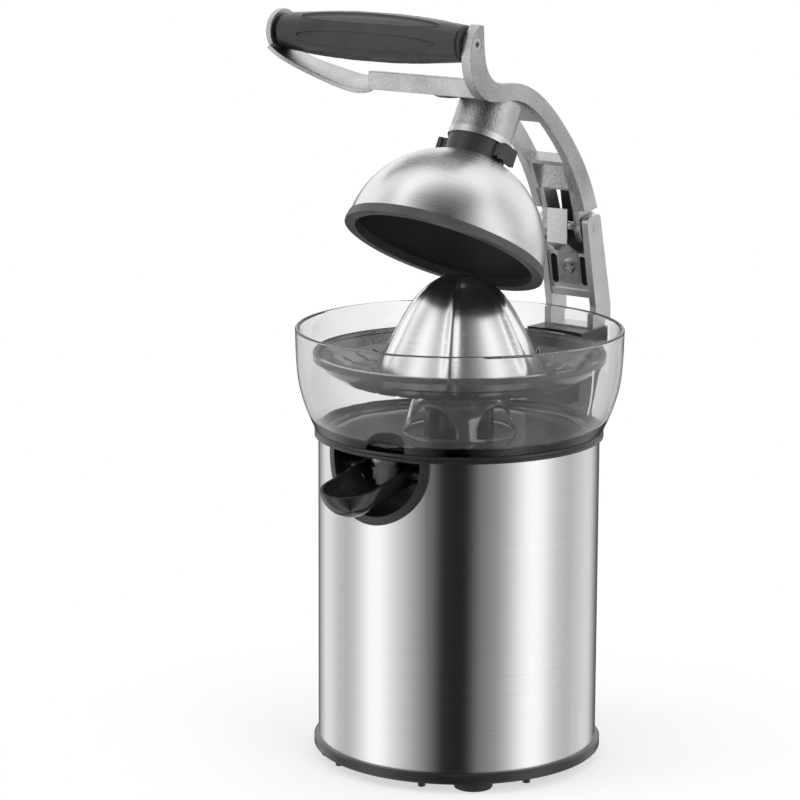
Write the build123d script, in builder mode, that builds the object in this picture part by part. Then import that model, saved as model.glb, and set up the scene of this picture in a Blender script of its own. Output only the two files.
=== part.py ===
import math
import os

from build123d import *

os.makedirs("parts", exist_ok=True)

# Electric citrus juicer with a press lever. +Z is up, the spout faces -Y, the lever's
# column stands at +Y, and the origin is on the body's axis where the feet stand.

# Fits
overrun = 2.0
static_gap = 0.1
running_gap = 0.05
moving_gap = 0.5

# Feet and base
foot_height = 5.0
foot_radius = 10.0
foot_inset = 11.0
outer_feet = 4
first_foot_angle = 45.0
foot_plug_radius = 4.0
foot_edge = 0.8
nub_radius = 2.0
nub_height = 2.6
nub_inset = 2.5
nub_count = 8
base_proud = 2.3
base_ring_height = 5.4
base_bevel = 0.9
base_floor = 3.2
base_lip_height = 11.6
base_lip_wall = 2.5
vent_length = 22.0
vent_width = 3.0
vent_circle = 38.0
vent_count = 12

# Body sleeve and collar
body_radius = 73.0
sleeve_wall = 0.8
body_height = 161.1
collar_proud = 2.0
collar_height = 3.6
collar_groove = 0.7
collar_groove_depth = 0.6
collar_skirt = 11.0
collar_skirt_wall = 2.1
deck_thickness = 3.0
deck_drop = 1.1
bowl_seat_inset = 2.6

# Spout recess in the front of the body
notch_half_width = 27.4
notch_depth = 30.5
surround_width = 4.5
surround_lip = 1.8
surround_proud = 1.1
surround_depth = 2.8
well_inset = 29.0
well_wall = 1.8

# Juice bowl
bowl_wall = 2.2
bowl_height = 52.7
bowl_flares = [1.7, 4.7, 7.1, 9.7, 11.5, 12.0]
bowl_rise_shares = [0.0, 0.126, 0.242, 0.415, 0.705, 1.0]
bowl_floor_drop = 2.1
bowl_floor = 2.3
bowl_corner_inset = 6.5
chimney_radius = 18.2
chimney_bore = 16.4
chimney_height = 15.6
nozzle_inset = 11.5
nozzle_radius = 6.4
nozzle_wall = 1.4
nozzle_drop = 14.7
funnel_length = 17.0
funnel_width = 13.6
funnel_drop = 7.5

# Strainer and the clear skirt that carries it
skirt_bottom_radius = 30.0
skirt_top_radius = 22.6
skirt_wall = 1.7
arch_half_width = 16.5
arch_height = 14.5
skirt_height = 21.0
strainer_floor = 2.0
strainer_bore = 19.6
strainer_floor_inset = 12.0
strainer_floor_rise = 7.3
strainer_wall_proud = 1.6
strainer_wall_share = (0.66, 0.52)
strainer_wall_thickness = 1.6
strainer_rim_proud = 3.0
strainer_depth = 21.0
strainer_rim_height = 3.2
strainer_slot_length = 15.0
strainer_slot_width = 1.7
strainer_slot_inset = 13.0
strainer_slot_slant = 35.0
strainer_slot_count = 30
floor_slot_length = 9.0
floor_slot_inset = 14.0

# Reamer cone and its hub
cone_clearance = 7.0
cone_outline = [(45.6, 0.0), (41.8, 11.5), (35.2, 24.0), (26.6, 37.8), (16.2, 47.4), (6.0, 51.4)]
cone_rib_heights = [1.0, 2.4, 2.4, 2.0, 1.3, 0.3]
cone_rib_turn = 0.0
cone_rib_count = 6
cone_rib_share = 0.085
cone_wall = 2.4
cone_section_points = 120
hub_radius = 8.2
hub_neck = 13.4
hub_flange = 3.0
hub_height = 11.0
hub_spigot_radius = 12.0

# Drive train on the body's axis
gearbox_inset = 11.0
gear_pressure_angle = 25.0
gear_backlash = 0.16
pinion_teeth = 12
wheel_teeth = 36
gear_clearance_share = 0.25
flank_points = 4
gearbox_clearance = 6.1
gearbox_wall = 3.0
gearbox_plate = 4.0
gearbox_depth = 23.0
gearbox_roof = 3.0
tower_radius = 15.4
tower_bore = 11.0
tower_clearance = 0.2
post_radius = 5.0
post_offset = 40.0
pinion_rise = 1.6
pinion_width = 7.2
idler_rise = 2.2
idler_wheel_width = 6.2
idler_length = 17.2
output_rise = 10.6
output_width = 8.0
axle_radius = 3.0
drive_radius = 4.0
drive_shoulder_radius = 6.6
drive_shoulder_height = 7.6
drive_hex_radius = 5.6
hex_clearance = 1.0
hex_end_gap = 4.0
drive_bush_length = 14.0
lower_bush_rise = 2.0
upper_bush_drop = 18.4
seal_length = 3.6

# Motor
motor_radius = 33.0
motor_wall = 1.6
motor_rise = 25.6
motor_length_share = 0.4221
motor_cap = 4.0
motor_shaft_radius = 3.0
motor_shaft_rise = 5.6
motor_bearing_radius = 7.0
motor_bearing_height = 6.0
stator_rise = 16.0
stator_height = 34.0
stator_bore = 19.2
stator_slot_width = 5.0
stator_slot_depth = 6.0
stator_slot_count = 12
rotor_radius = 18.4
rotor_slot_count = 18
rotor_slot_width = 1.6
rotor_slot_depth = 2.0
fan_rise = 2.0
fan_height = 11.0
fan_radius = 28.0
fan_hub_radius = 8.0
fan_plate = 1.6
fan_blade = 1.6
fan_blade_count = 9

# Drip spout
spout_radius = 15.6
spout_wall = 1.8
spout_slope = 12.0
spout_reach = 16.5
spout_nose_drop = 12.2
spout_back_inset = 21.0
spout_pivot_inset = 13.0
spout_pivot_drop = 9.5
spout_pin_radius = 2.4
spout_pin_seat = 1.2

# Column, bracket and hinge
lever_half_width = 16.5
leg_inner = 12.5
pin_place = 98.3
pin_rise = 94.1
pin_radius = 2.7
column_depth = 13.8
column_top_front = 7.4
column_top_back = 4.9
column_lean = 10.5
column_top_rise = 7.2
column_corner = 3.0
column_knee_drop = 43.2
column_foot_length = 29.0
column_web = 4.0
column_web_recess = 1.7
column_web_drop = 13.6
column_panel_drop = 34.0
column_panel_recess = 0.9
column_window_drop = 38.5
column_sill = 1.0
web_slot_width = 4.4
web_slot_length = 16.5
web_slot_drop = 23.5
web_slot_place = 9.5
web_slot_depth = 3.2
bracket_half_width = 18.2
bracket_gap = 2.5
bracket_wall = 2.2
bracket_drop = 49.5
bracket_socket = 17.0
bracket_corner = 2.0
bracket_screw_radius = 3.0
bracket_screw_head = 5.2
bracket_screw_head_height = 3.2
bracket_screw_shares = [0.13, 0.305]
bracket_screw_length = 9.0
column_screw_radius = 2.0
column_screw_head = 3.6
column_screw_head_height = 2.2
column_screw_length = 9.0
column_screw_rise = 9.0
column_screw_places = [-8.0, 8.0]
bracket_inset = 13.0
bracket_proud = [7.0, 10.0, 23.5, 30.0]
bracket_rise_shares = [0.0, 0.065, 0.5, 0.63]
bracket_back_share = 0.826
leaf_half_width = 6.4
leaf_thickness = 0.8
leaf_bottom_drop = 31.0
leaf_bend_drop = 13.2
leaf_fold_drop = 5.6
leaf_fold_reach = 8.0
leaf_top_rise = 12.6
leaf_reach = 4.6
leaf_screw_drop = 21.5
leaf_screw_radius = 2.0
leaf_head_radius = 4.0
leaf_head_height = 2.4
leaf_cross = 0.9
shield_half_width = 7.6
shield_thickness = 1.5
shield_bottom_drop = 33.0
shield_bend_drop = 9.0
shield_fold_drop = 4.5
shield_setback = 5.0
shield_top_rise = 20.0
gland_rise = 19.6
gland_radius = 6.0
gland_flange_radius = 8.5
gland_proud = 3.0
gland_bore = 3.4

# Lever arm in its raised place, as (y, z) from the hinge pin in shares of the pin's distance from the axis
rest_tilt = 29.0
rail_inner = 12.0
rail_upper_shares = [(-1.0366, 1.1638), (-1.0275, 1.0407), (-0.9736, 0.8993), (-0.8962, 0.8566),
                     (-0.7762, 0.8494), (-0.5422, 0.7752), (-0.2909, 0.5677), (-0.0926, 0.3204),
                     (0.0132, 0.0956)]
rail_lower_shares = [(-0.1109, 0.1038), (-0.2655, 0.3876), (-0.4527, 0.5931), (-0.6033, 0.706),
                     (-0.7304, 0.7528), (-0.8678, 0.7609), (-1.0142, 0.7833), (-1.1027, 0.8596),
                     (-1.1455, 0.9949), (-1.1261, 1.1017), (-1.0651, 1.1699)]
rail_end_radius = 10.8
left_rail_back = 7.8
left_rail_drop = 18.9
upright_inner = 10.5
upright_depth = 11.9
lug_inner = 8.2
lug_radius = 8.6
lug_outline_shares = [(-0.1455, 0.2218), (-0.1027, 0.0997), (-0.0804, -0.0224), (0.0804, -0.0224),
                      (0.0173, 0.0895), (-0.0336, 0.2218)]
lug_bore_gap = 0.06
bridge_outline_shares = [(-0.9593, 0.8728), (-0.8962, 0.8545), (-0.7762, 0.8464), (-0.5422, 0.7711),
                         (-0.3693, 0.6348), (-0.3957, 0.6043), (-0.5666, 0.7304), (-0.7762, 0.8037),
                         (-0.9593, 0.8159)]
cross_outline_shares = [(-0.2442, 0.3764), (-0.1729, 0.4151), (-0.0916, 0.2523), (-0.1628, 0.2136)]
cross_pocket_shares = [(-0.2513, 0.3469), (-0.1801, 0.3855), (-0.1536, 0.2187), (-0.1806, 0.2035)]
cross_pocket_half_width = 9.8
strap_setback = 6.4
strap_thickness = 4.5
strap_drop = 28.0
strap_height = 9.4
strap_fold = -57.5
strap_right = 12.5
strap_lap = 1.0
strap_centres_from_grip = [
    (-57.5, 12.6, -24.2),
    (-74.0, 12.4, -25.6),
    (-93.0, 5.9, -18.9),
    (-103.5, 1.5, -13.9),
    (-112.2, 0.0, -7.6),
]
strap_rises = [0.0, 8.0, 28.0, 44.0, 60.0]
strap_twists = [55.0, 70.0, 84.0, 90.0, 90.0]
strap_widths = [13.3, 15.0, 18.0, 20.0, 21.0]
strap_thicknesses = [2.6, 2.6, 2.5, 2.4, 2.4]
end_plate_radius = 11.4
end_plate_outer = -113.0
end_plate_inner = -110.0
grip_shares = (-1.0905, 1.0712)
grip_right = 10.2
grip_left = -109.5
grip_end_radius = 9.4
grip_middle_radius = 12.4
grip_facet = 11.35
grip_facet_sag = 1.3
grip_facet_count = 6
grip_edge = 1.2
rod_radius = 3.2
rod_socket = 2.0
screw_head_radius = 3.3
screw_head_height = 2.6
screw_shank_radius = 1.8
screw_shank_length = 8.0
screw_hex_radius = 1.7
screw_hex_depth = 1.5

# Press dome, measured along its own axis from the middle of its rim
dome_rim_rise = 12.4
dome_radius = 51.8
dome_wall = 1.2
dome_edge = 1.0
liner_wall = 1.6
liner_gap = 0.2
seal_bottom = -1.4
seal_top = 3.2
seal_proud = 1.1
seal_depth = 4.4
seal_step = 0.5
seal_step_rise = 1.0
neck_radius = 15.8
neck_rise = 7.2
ring_radius = 16.7
ring_height = 3.4
boss_radius = 16.3
boss_height = 23.0
spigot_radius = 10.5
spigot_height = 15.0
dome_bolt_radius = 3.0
dome_bolt_head_radius = 6.0
dome_bolt_head = 3.0
dome_bolt_length = 20.0
tab_width = 10.0
tab_drop = 7.6
tab_plate_drop = 9.4
tab_top_drop = 0.7
tab_inner = 10.5
tab_outer = 21.6
tab_plate = 2.6
tab_plate_width = 11.5
tab_travel = 2.0

# Levels and places that follow from the sizes above
base_top = foot_height + base_ring_height
base_radius = body_radius + base_proud
nub_circle = body_radius - nub_inset
foot_circle = body_radius - foot_inset
foot_angles = [math.radians(first_foot_angle + 360 * number / outer_feet) for number in range(outer_feet)]
foot_places = [(foot_circle * math.cos(angle), foot_circle * math.sin(angle)) for angle in foot_angles]
foot_places.append((0, 0))
sleeve_inner = body_radius - sleeve_wall
lip_radius = sleeve_inner - static_gap
collar_bottom = base_top + body_height
collar_radius = body_radius + collar_proud
collar_top = collar_bottom + collar_height
bowl_seat_radius = body_radius - bowl_seat_inset
bowl_floor_level = collar_top - bowl_floor_drop
bowl_corner_radius = body_radius - bowl_corner_inset
bowl_rim_height = collar_top + bowl_height
bowl_wall_height = bowl_height - bowl_wall / 2
bowl_outer = [
    (body_radius + flare, collar_top + share * bowl_wall_height)
    for flare, share in zip(bowl_flares, bowl_rise_shares)
]
bowl_underside = bowl_floor_level - bowl_floor
chimney_top = bowl_floor_level + chimney_height
nozzle_place = body_radius - nozzle_inset
nozzle_bottom = bowl_underside - nozzle_drop
strainer_floor_level = bowl_floor_level + skirt_height
strainer_floor_radius = body_radius - strainer_floor_inset
strainer_edge_level = strainer_floor_level + strainer_floor_rise
strainer_wall_radius = body_radius + strainer_wall_proud
strainer_rim_radius = body_radius + strainer_rim_proud
strainer_rim_level = strainer_floor_level + strainer_depth
strainer_slot_circle = body_radius - strainer_slot_inset
floor_slot_circle = strainer_floor_radius - floor_slot_inset
cone_bottom = strainer_floor_level + strainer_floor + cone_clearance
dome_rim_closed = cone_bottom + dome_rim_rise
seal_outer = dome_radius + seal_proud
seal_inner = dome_radius - seal_depth
neck_top = dome_radius + neck_rise
boss_top = neck_top + boss_height
spigot_top = neck_top + spigot_height
tab_low = neck_top - tab_drop
tab_plate_low = neck_top - tab_plate_drop
tab_high = neck_top - tab_top_drop
hub_bottom = cone_bottom - hub_neck
hub_top = cone_bottom + hub_height
deck_top = bowl_underside - deck_drop
deck_bottom = deck_top - deck_thickness
skirt_bottom = collar_bottom - collar_skirt
notch_bottom = collar_bottom - notch_depth
notch_centre = notch_bottom + notch_half_width
surround_outer = notch_half_width + surround_width
surround_lip_outer = notch_half_width + surround_lip
surround_face = body_radius + surround_proud
well_front = sleeve_inner - surround_depth
well_back = body_radius - well_inset
surround_lip_top = collar_bottom - deck_drop - static_gap
lip_back = math.sqrt(well_front**2 - surround_lip_outer**2)
cone_inner_slope = (cone_outline[0][0] - cone_outline[1][0]) / (cone_outline[1][1] - cone_outline[0][1])
hub_seat_radius = cone_outline[0][0] - 2 * cone_wall - static_gap
gear_module = (body_radius - gearbox_inset - gearbox_clearance) / (pinion_teeth / 2 + wheel_teeth + 1)
gear_centres = gear_module * (pinion_teeth + wheel_teeth) / 2
motor_bottom = base_top + motor_rise
motor_length = motor_length_share * body_height
motor_shaft_bottom = base_top + motor_shaft_rise
fan_bottom = motor_shaft_bottom + fan_rise
stator_bottom = motor_bottom + stator_rise
gearbox_radius = gear_centres + gear_module * (wheel_teeth / 2 + 1) + gearbox_clearance
gearbox_plate_bottom = motor_bottom + motor_length
motor_top = gearbox_plate_bottom - motor_cap
gearbox_plate_top = gearbox_plate_bottom + gearbox_plate
gearbox_roof_bottom = gearbox_plate_top + gearbox_depth
gearbox_roof_top = gearbox_roof_bottom + gearbox_roof
tower_top = chimney_top - tower_clearance
pinion_bottom = gearbox_plate_top + pinion_rise
idler_bottom = gearbox_plate_top + idler_rise
idler_top = idler_bottom + idler_length
output_bottom = gearbox_plate_top + output_rise
drive_hex_bottom = hub_bottom + hex_clearance
drive_top = hub_top - hex_end_gap
drive_bush_bottom = gearbox_roof_top + lower_bush_rise
upper_bush_bottom = tower_top - upper_bush_drop
spout_nose_place = body_radius + spout_reach
spout_nose_level = collar_bottom - spout_nose_drop
spout_back_place = body_radius - spout_back_inset
spout_pivot_place = body_radius - spout_pivot_inset
spout_pivot_level = collar_bottom - spout_pivot_drop
gland_level = base_top + gland_rise
pin_level = collar_top + pin_rise
column_knee = pin_level - column_knee_drop
column_foot = column_knee - column_foot_length
column_screw_level = column_foot + column_screw_rise
bracket_front_radius = body_radius + bowl_flares[-1] + bracket_gap
bracket_bottom = collar_bottom - bracket_drop
bracket_top = column_foot + bracket_socket
bracket_height = bracket_top - bracket_bottom
window_bottom = bracket_top + column_sill
window_top = pin_level - column_window_drop
bracket_screw_levels = [bracket_bottom + share * bracket_height for share in bracket_screw_shares]
grip_axis = (pin_place + grip_shares[0] * pin_place, pin_level + grip_shares[1] * pin_place)
left_rail_front = grip_axis[0] + left_rail_back
left_rail_top = grip_axis[1] - left_rail_drop
upright_back = grip_axis[0] + upright_depth
strap_front = grip_axis[0] + strap_setback
strap_bottom = grip_axis[1] - strap_drop
strap_centres = [(x, grip_axis[0] + y, grip_axis[1] + z) for x, y, z in strap_centres_from_grip]


def from_pin(points):
    return [(pin_place + y * pin_place, pin_level + z * pin_place) for y, z in points]


rail_upper = from_pin(rail_upper_shares)
rail_lower = from_pin(rail_lower_shares)
lug_outline = from_pin(lug_outline_shares)
bridge_outline = from_pin(bridge_outline_shares)
cross_outline = from_pin(cross_outline_shares)
cross_pocket = from_pin(cross_pocket_shares)

# The press hangs from the lever: its axis is upright over the cone when the lever is
# down, and this turns it about the hinge pin to the raised place.
tilt = math.radians(rest_tilt)
press_axis = Vector(0, math.sin(tilt), math.cos(tilt))
press_face = Vector(0, -math.cos(tilt), math.sin(tilt))
closed_rise = dome_rim_closed - pin_level
press_origin = Vector(
    0,
    pin_place - pin_place * math.cos(tilt) + closed_rise * math.sin(tilt),
    pin_level + pin_place * math.sin(tilt) + closed_rise * math.cos(tilt),
)
press_profile = Plane(origin=press_origin, x_dir=(1, 0, 0), z_dir=press_face)
press_turn = Axis(press_origin, press_axis)


def press_plane(distance):
    return Plane(origin=press_origin + press_axis * distance, x_dir=(1, 0, 0), z_dir=press_axis)


def gear_outline(teeth, first_tooth):
    # Involute flanks from the base circle (or the root circle) out to the tips.
    pitch = gear_module * teeth / 2
    base = pitch * math.cos(math.radians(gear_pressure_angle))
    tip = pitch + gear_module
    root = pitch - gear_module * (1 + gear_clearance_share)
    start = max(base, root)
    half_tooth = math.pi / (2 * teeth) - gear_backlash / (4 * pitch)
    pressure = math.radians(gear_pressure_angle)
    at_pitch = math.tan(pressure) - pressure
    points = []
    for tooth in range(teeth):
        middle = math.radians(first_tooth) + tooth * 2 * math.pi / teeth
        flank = []
        for step in range(flank_points):
            radius = start + (tip - start) * step / (flank_points - 1)
            angle = math.acos(min(1.0, base / radius))
            spread = half_tooth + at_pitch - (math.tan(angle) - angle)
            flank.append((radius, spread))
        right = [(radius, middle - spread) for radius, spread in flank]
        left = [(radius, middle + spread) for radius, spread in reversed(flank)]
        if root < start:
            right.insert(0, (root, middle - flank[0][1]))
            left.append((root, middle + flank[0][1]))
        points += [(radius * math.cos(angle), radius * math.sin(angle)) for radius, angle in right + left]
    return points


def cone_section(radius, rib):
    # A ring with rounded ribs standing on it, one facing every sixth of a turn.
    points = []
    pitch = 2 * math.pi / cone_rib_count
    for step in range(cone_section_points):
        angle = 2 * math.pi * step / cone_section_points
        offset = (angle - math.radians(cone_rib_turn) + pitch / 2) % pitch - pitch / 2
        lift = rib * math.exp(-((offset / (pitch * cone_rib_share)) ** 2))
        points.append(((radius - rib + lift) * math.cos(angle), (radius - rib + lift) * math.sin(angle)))
    return points


# Base pan: the black ring that the body stands on, with vents in its floor.
with BuildPart() as base_pan:
    with BuildSketch(Plane.XZ):
        with BuildLine():
            Polyline(
                (0, foot_height),
                (base_radius - base_bevel, foot_height),
                (base_radius, foot_height + base_bevel),
                (base_radius, base_top - base_bevel),
                (base_radius - base_bevel, base_top),
                (lip_radius, base_top),
                (lip_radius, base_top + base_lip_height),
                (lip_radius - base_lip_wall, base_top + base_lip_height),
                (lip_radius - base_lip_wall, foot_height + base_floor),
                (0, foot_height + base_floor),
                close=True,
            )
        make_face()
    revolve(axis=Axis.Z)
    with BuildSketch(Plane.XY.offset(foot_height)):
        with PolarLocations(nub_circle, nub_count, start_angle=180 / nub_count):
            Circle(nub_radius)
    extrude(amount=-nub_height)
    with BuildSketch(Plane.XY.offset(foot_height - overrun)):
        with Locations(*foot_places):
            Circle(foot_plug_radius + static_gap)
        with PolarLocations(vent_circle, vent_count):
            SlotOverall(vent_length, vent_width)
    extrude(amount=base_floor + 2 * overrun, mode=Mode.SUBTRACT)
base_pan.part.label = "base_pan"
export_step(base_pan.part, "parts/base_pan.step")

# Rubber feet on the diagonals and one in the middle, each with a plug in the base's floor.
for number, (foot_x, foot_y) in enumerate(foot_places):
    with BuildPart() as rubber_foot:
        with BuildSketch(Plane((foot_x, foot_y, 0))):
            Circle(foot_radius)
        extrude(amount=foot_height)
        fillet(rubber_foot.edges().group_by(Axis.Z)[0], foot_edge)
        with BuildSketch(Plane((foot_x, foot_y, foot_height))):
            Circle(foot_plug_radius)
        extrude(amount=base_floor)
    rubber_foot.part.label = "rubber_foot_%d" % (number + 1)
    export_step(rubber_foot.part, "parts/rubber_foot_%d.step" % (number + 1))

# Steel sleeve, cut out at the front for the spout and bored for the bracket's screws.
with BuildPart() as body_sleeve:
    with BuildSketch(Plane.XY.offset(base_top)):
        Circle(body_radius)
        Circle(sleeve_inner, mode=Mode.SUBTRACT)
    extrude(amount=collar_bottom - base_top)
    with BuildSketch(Plane.XZ):
        with Locations((0, notch_centre)):
            Circle(surround_lip_outer + static_gap)
            Rectangle(
                2 * (surround_lip_outer + static_gap),
                collar_bottom - notch_centre + overrun,
                align=(Align.CENTER, Align.MIN),
            )
    extrude(amount=body_radius + overrun, mode=Mode.SUBTRACT)
    with BuildSketch(Plane.XZ):
        for level in bracket_screw_levels:
            with Locations((0, level)):
                Circle(bracket_screw_radius + static_gap)
        with Locations((0, gland_level)):
            Circle(gland_radius + static_gap)
    extrude(amount=-(body_radius + overrun), mode=Mode.SUBTRACT)
body_sleeve.part.label = "body_sleeve"
export_step(body_sleeve.part, "parts/body_sleeve.step")

# Black U-shaped surround of the spout's recess: a lip through the sleeve and a flange on it.
with BuildPart() as surround_through:
    with BuildSketch(Plane.XZ):
        with Locations((0, notch_centre)):
            Circle(surround_lip_outer)
            Rectangle(2 * surround_lip_outer, collar_bottom - notch_centre, align=(Align.CENTER, Align.MIN))
            Circle(notch_half_width, mode=Mode.SUBTRACT)
            Rectangle(
                2 * notch_half_width,
                collar_bottom - notch_centre + overrun,
                align=(Align.CENTER, Align.MIN),
                mode=Mode.SUBTRACT,
            )
    extrude(amount=surround_face + overrun)
    with BuildSketch(Plane.XY.offset(notch_bottom - surround_width - overrun)):
        Circle(surround_face)
        Circle(well_front, mode=Mode.SUBTRACT)
    extrude(amount=surround_lip_top - notch_bottom + surround_width + overrun, mode=Mode.INTERSECT)

with BuildPart() as surround_flange:
    with BuildSketch(Plane.XZ):
        with Locations((0, notch_centre)):
            Circle(surround_outer)
            Rectangle(2 * surround_outer, collar_bottom - notch_centre, align=(Align.CENTER, Align.MIN))
            Circle(notch_half_width, mode=Mode.SUBTRACT)
            Rectangle(
                2 * notch_half_width,
                collar_bottom - notch_centre + overrun,
                align=(Align.CENTER, Align.MIN),
                mode=Mode.SUBTRACT,
            )
    extrude(amount=surround_face + overrun)
    with BuildSketch(Plane.XY.offset(notch_bottom - surround_width - overrun)):
        Circle(surround_face)
        Circle(body_radius, mode=Mode.SUBTRACT)
    extrude(amount=collar_bottom - notch_bottom + surround_width + overrun, mode=Mode.INTERSECT)

with BuildPart() as spout_surround:
    add(surround_through.part)
    add(surround_flange.part)
spout_surround.part.label = "spout_surround"
export_step(spout_surround.part, "parts/spout_surround.step")

# Black recess behind the surround, with bores for the drip spout's two pins.
with BuildPart() as spout_well:
    with BuildSketch(Plane.XZ.offset(well_back)):
        with Locations((0, notch_centre)):
            Circle(notch_half_width + well_wall)
            Rectangle(
                2 * (notch_half_width + well_wall),
                deck_bottom - notch_centre,
                align=(Align.CENTER, Align.MIN),
            )
    extrude(amount=well_front - well_back)
    with BuildSketch(Plane.XZ.offset(well_back + well_wall)):
        with Locations((0, notch_centre)):
            Circle(notch_half_width)
            Rectangle(
                2 * notch_half_width, deck_bottom - notch_centre + overrun, align=(Align.CENTER, Align.MIN)
            )
    extrude(amount=well_front, mode=Mode.SUBTRACT)
    with BuildSketch(Plane.XY.offset(notch_bottom - well_wall - overrun)):
        Circle(well_front - static_gap)
    extrude(amount=deck_bottom - notch_bottom + well_wall + overrun, mode=Mode.INTERSECT)
    with BuildSketch(Plane.YZ.offset(-notch_half_width - well_wall - overrun)):
        with Locations((-spout_pivot_place, spout_pivot_level)):
            Circle(spout_pin_radius + running_gap)
    extrude(amount=2 * (notch_half_width + well_wall + overrun), mode=Mode.SUBTRACT)
spout_well.part.label = "spout_well"
export_step(spout_well.part, "parts/spout_well.step")

# Black collar with a deck under the bowl, standing in the top of the sleeve.
with BuildPart() as top_collar:
    with BuildSketch(Plane.XZ):
        with BuildLine():
            Polyline(
                (tower_radius + 2 * static_gap, deck_bottom),
                (lip_radius - collar_skirt_wall, deck_bottom),
                (lip_radius - collar_skirt_wall, skirt_bottom),
                (lip_radius, skirt_bottom),
                (lip_radius, collar_bottom),
                (collar_radius, collar_bottom),
                (collar_radius, collar_bottom + collar_groove),
                (collar_radius - collar_groove_depth, collar_bottom + 2 * collar_groove),
                (collar_radius, collar_bottom + 3 * collar_groove),
                (collar_radius, collar_top),
                (bowl_seat_radius, collar_top),
                (bowl_seat_radius, deck_top),
                (tower_radius + 2 * static_gap, deck_top),
                close=True,
            )
        make_face()
    revolve(axis=Axis.Z)
    with BuildSketch(Plane.XY.offset(skirt_bottom - overrun)):
        with Locations((0, -body_radius)):
            Rectangle(2 * (surround_lip_outer + static_gap), 2 * (body_radius - lip_back) + overrun)
    extrude(amount=collar_bottom - skirt_bottom + overrun - deck_drop, mode=Mode.SUBTRACT)
    with BuildSketch(Plane.XY.offset(deck_bottom - overrun)):
        with Locations((0, -well_back - well_wall)):
            Rectangle(
                2 * notch_half_width + well_wall,
                well_front - well_back,
                align=(Align.CENTER, Align.MAX),
            )
    extrude(amount=deck_top - deck_bottom + overrun + static_gap, mode=Mode.SUBTRACT)
top_collar.part.label = "top_collar"
export_step(top_collar.part, "parts/top_collar.step")

# Clear juice bowl with a chimney round the drive and a nozzle over the drip spout.
bowl_inner = [(radius - bowl_wall, level) for radius, level in reversed(bowl_outer[1:])]
with BuildPart() as juice_bowl:
    with BuildSketch(Plane.XZ):
        with BuildLine():
            Polyline(
                (chimney_bore, bowl_underside),
                (bowl_seat_radius - static_gap, bowl_underside),
                (bowl_seat_radius - static_gap, bowl_outer[0][1]),
                bowl_outer[0],
            )
            wall_outside = Spline(bowl_outer)
            wall_rim = ThreePointArc(
                bowl_outer[-1],
                (bowl_outer[-1][0] - bowl_wall / 2, bowl_rim_height),
                (bowl_outer[-1][0] - bowl_wall, bowl_outer[-1][1]),
            )
            wall_inside = Spline(bowl_inner + [(bowl_corner_radius, bowl_floor_level)])
            Polyline(
                wall_inside @ 1,
                (chimney_radius, bowl_floor_level),
                (chimney_radius, chimney_top),
                (chimney_bore, chimney_top),
                (chimney_bore, bowl_underside),
            )
        make_face()
    revolve(axis=Axis.Z)
    with BuildSketch(Plane.XY.offset(bowl_underside)):
        with Locations((0, -nozzle_place)):
            SlotOverall(funnel_length, funnel_width)
    with BuildSketch(Plane.XY.offset(bowl_underside - funnel_drop)):
        with Locations((0, -nozzle_place)):
            SlotOverall(2 * nozzle_radius + nozzle_wall, 2 * nozzle_radius)
    loft()
    with BuildSketch(Plane.XY.offset(nozzle_bottom)):
        with Locations((0, -nozzle_place)):
            Circle(nozzle_radius)
    extrude(amount=bowl_underside - funnel_drop - nozzle_bottom)
    with BuildSketch(Plane.XY.offset(bowl_floor_level)):
        with Locations((0, -nozzle_place)):
            SlotOverall(funnel_length - 2 * nozzle_wall, funnel_width - 2 * nozzle_wall)
    with BuildSketch(Plane.XY.offset(bowl_underside - funnel_drop + nozzle_wall)):
        with Locations((0, -nozzle_place)):
            SlotOverall(2 * nozzle_radius - nozzle_wall, 2 * (nozzle_radius - nozzle_wall))
    loft(mode=Mode.SUBTRACT)
    with BuildSketch(Plane.XY.offset(nozzle_bottom - overrun)):
        with Locations((0, -nozzle_place)):
            Circle(nozzle_radius - nozzle_wall)
    extrude(amount=bowl_underside - funnel_drop - nozzle_bottom + 2 * overrun, mode=Mode.SUBTRACT)
juice_bowl.part.label = "juice_bowl"
export_step(juice_bowl.part, "parts/juice_bowl.step")

# Clear skirt on the bowl's floor, with arches that let the juice through.
with BuildPart() as juice_skirt:
    with BuildSketch(Plane.XZ):
        with BuildLine():
            Polyline(
                (skirt_bottom_radius - skirt_wall, bowl_floor_level),
                (skirt_bottom_radius, bowl_floor_level),
                (skirt_top_radius, strainer_floor_level),
                (skirt_top_radius - skirt_wall, strainer_floor_level),
                close=True,
            )
        make_face()
    revolve(axis=Axis.Z)
    for turn in (0, 90, 180, 270):
        with BuildSketch(Plane.XZ.rotated((0, 0, turn))):
            with BuildLine():
                arch_foot = bowl_floor_level + skirt_wall
                ThreePointArc(
                    (-arch_half_width, arch_foot), (0, arch_foot + arch_height), (arch_half_width, arch_foot)
                )
                Line((arch_half_width, arch_foot), (-arch_half_width, arch_foot))
            make_face()
        extrude(amount=skirt_bottom_radius + overrun, mode=Mode.SUBTRACT)
juice_skirt.part.label = "juice_skirt"
export_step(juice_skirt.part, "parts/juice_skirt.step")

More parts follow.
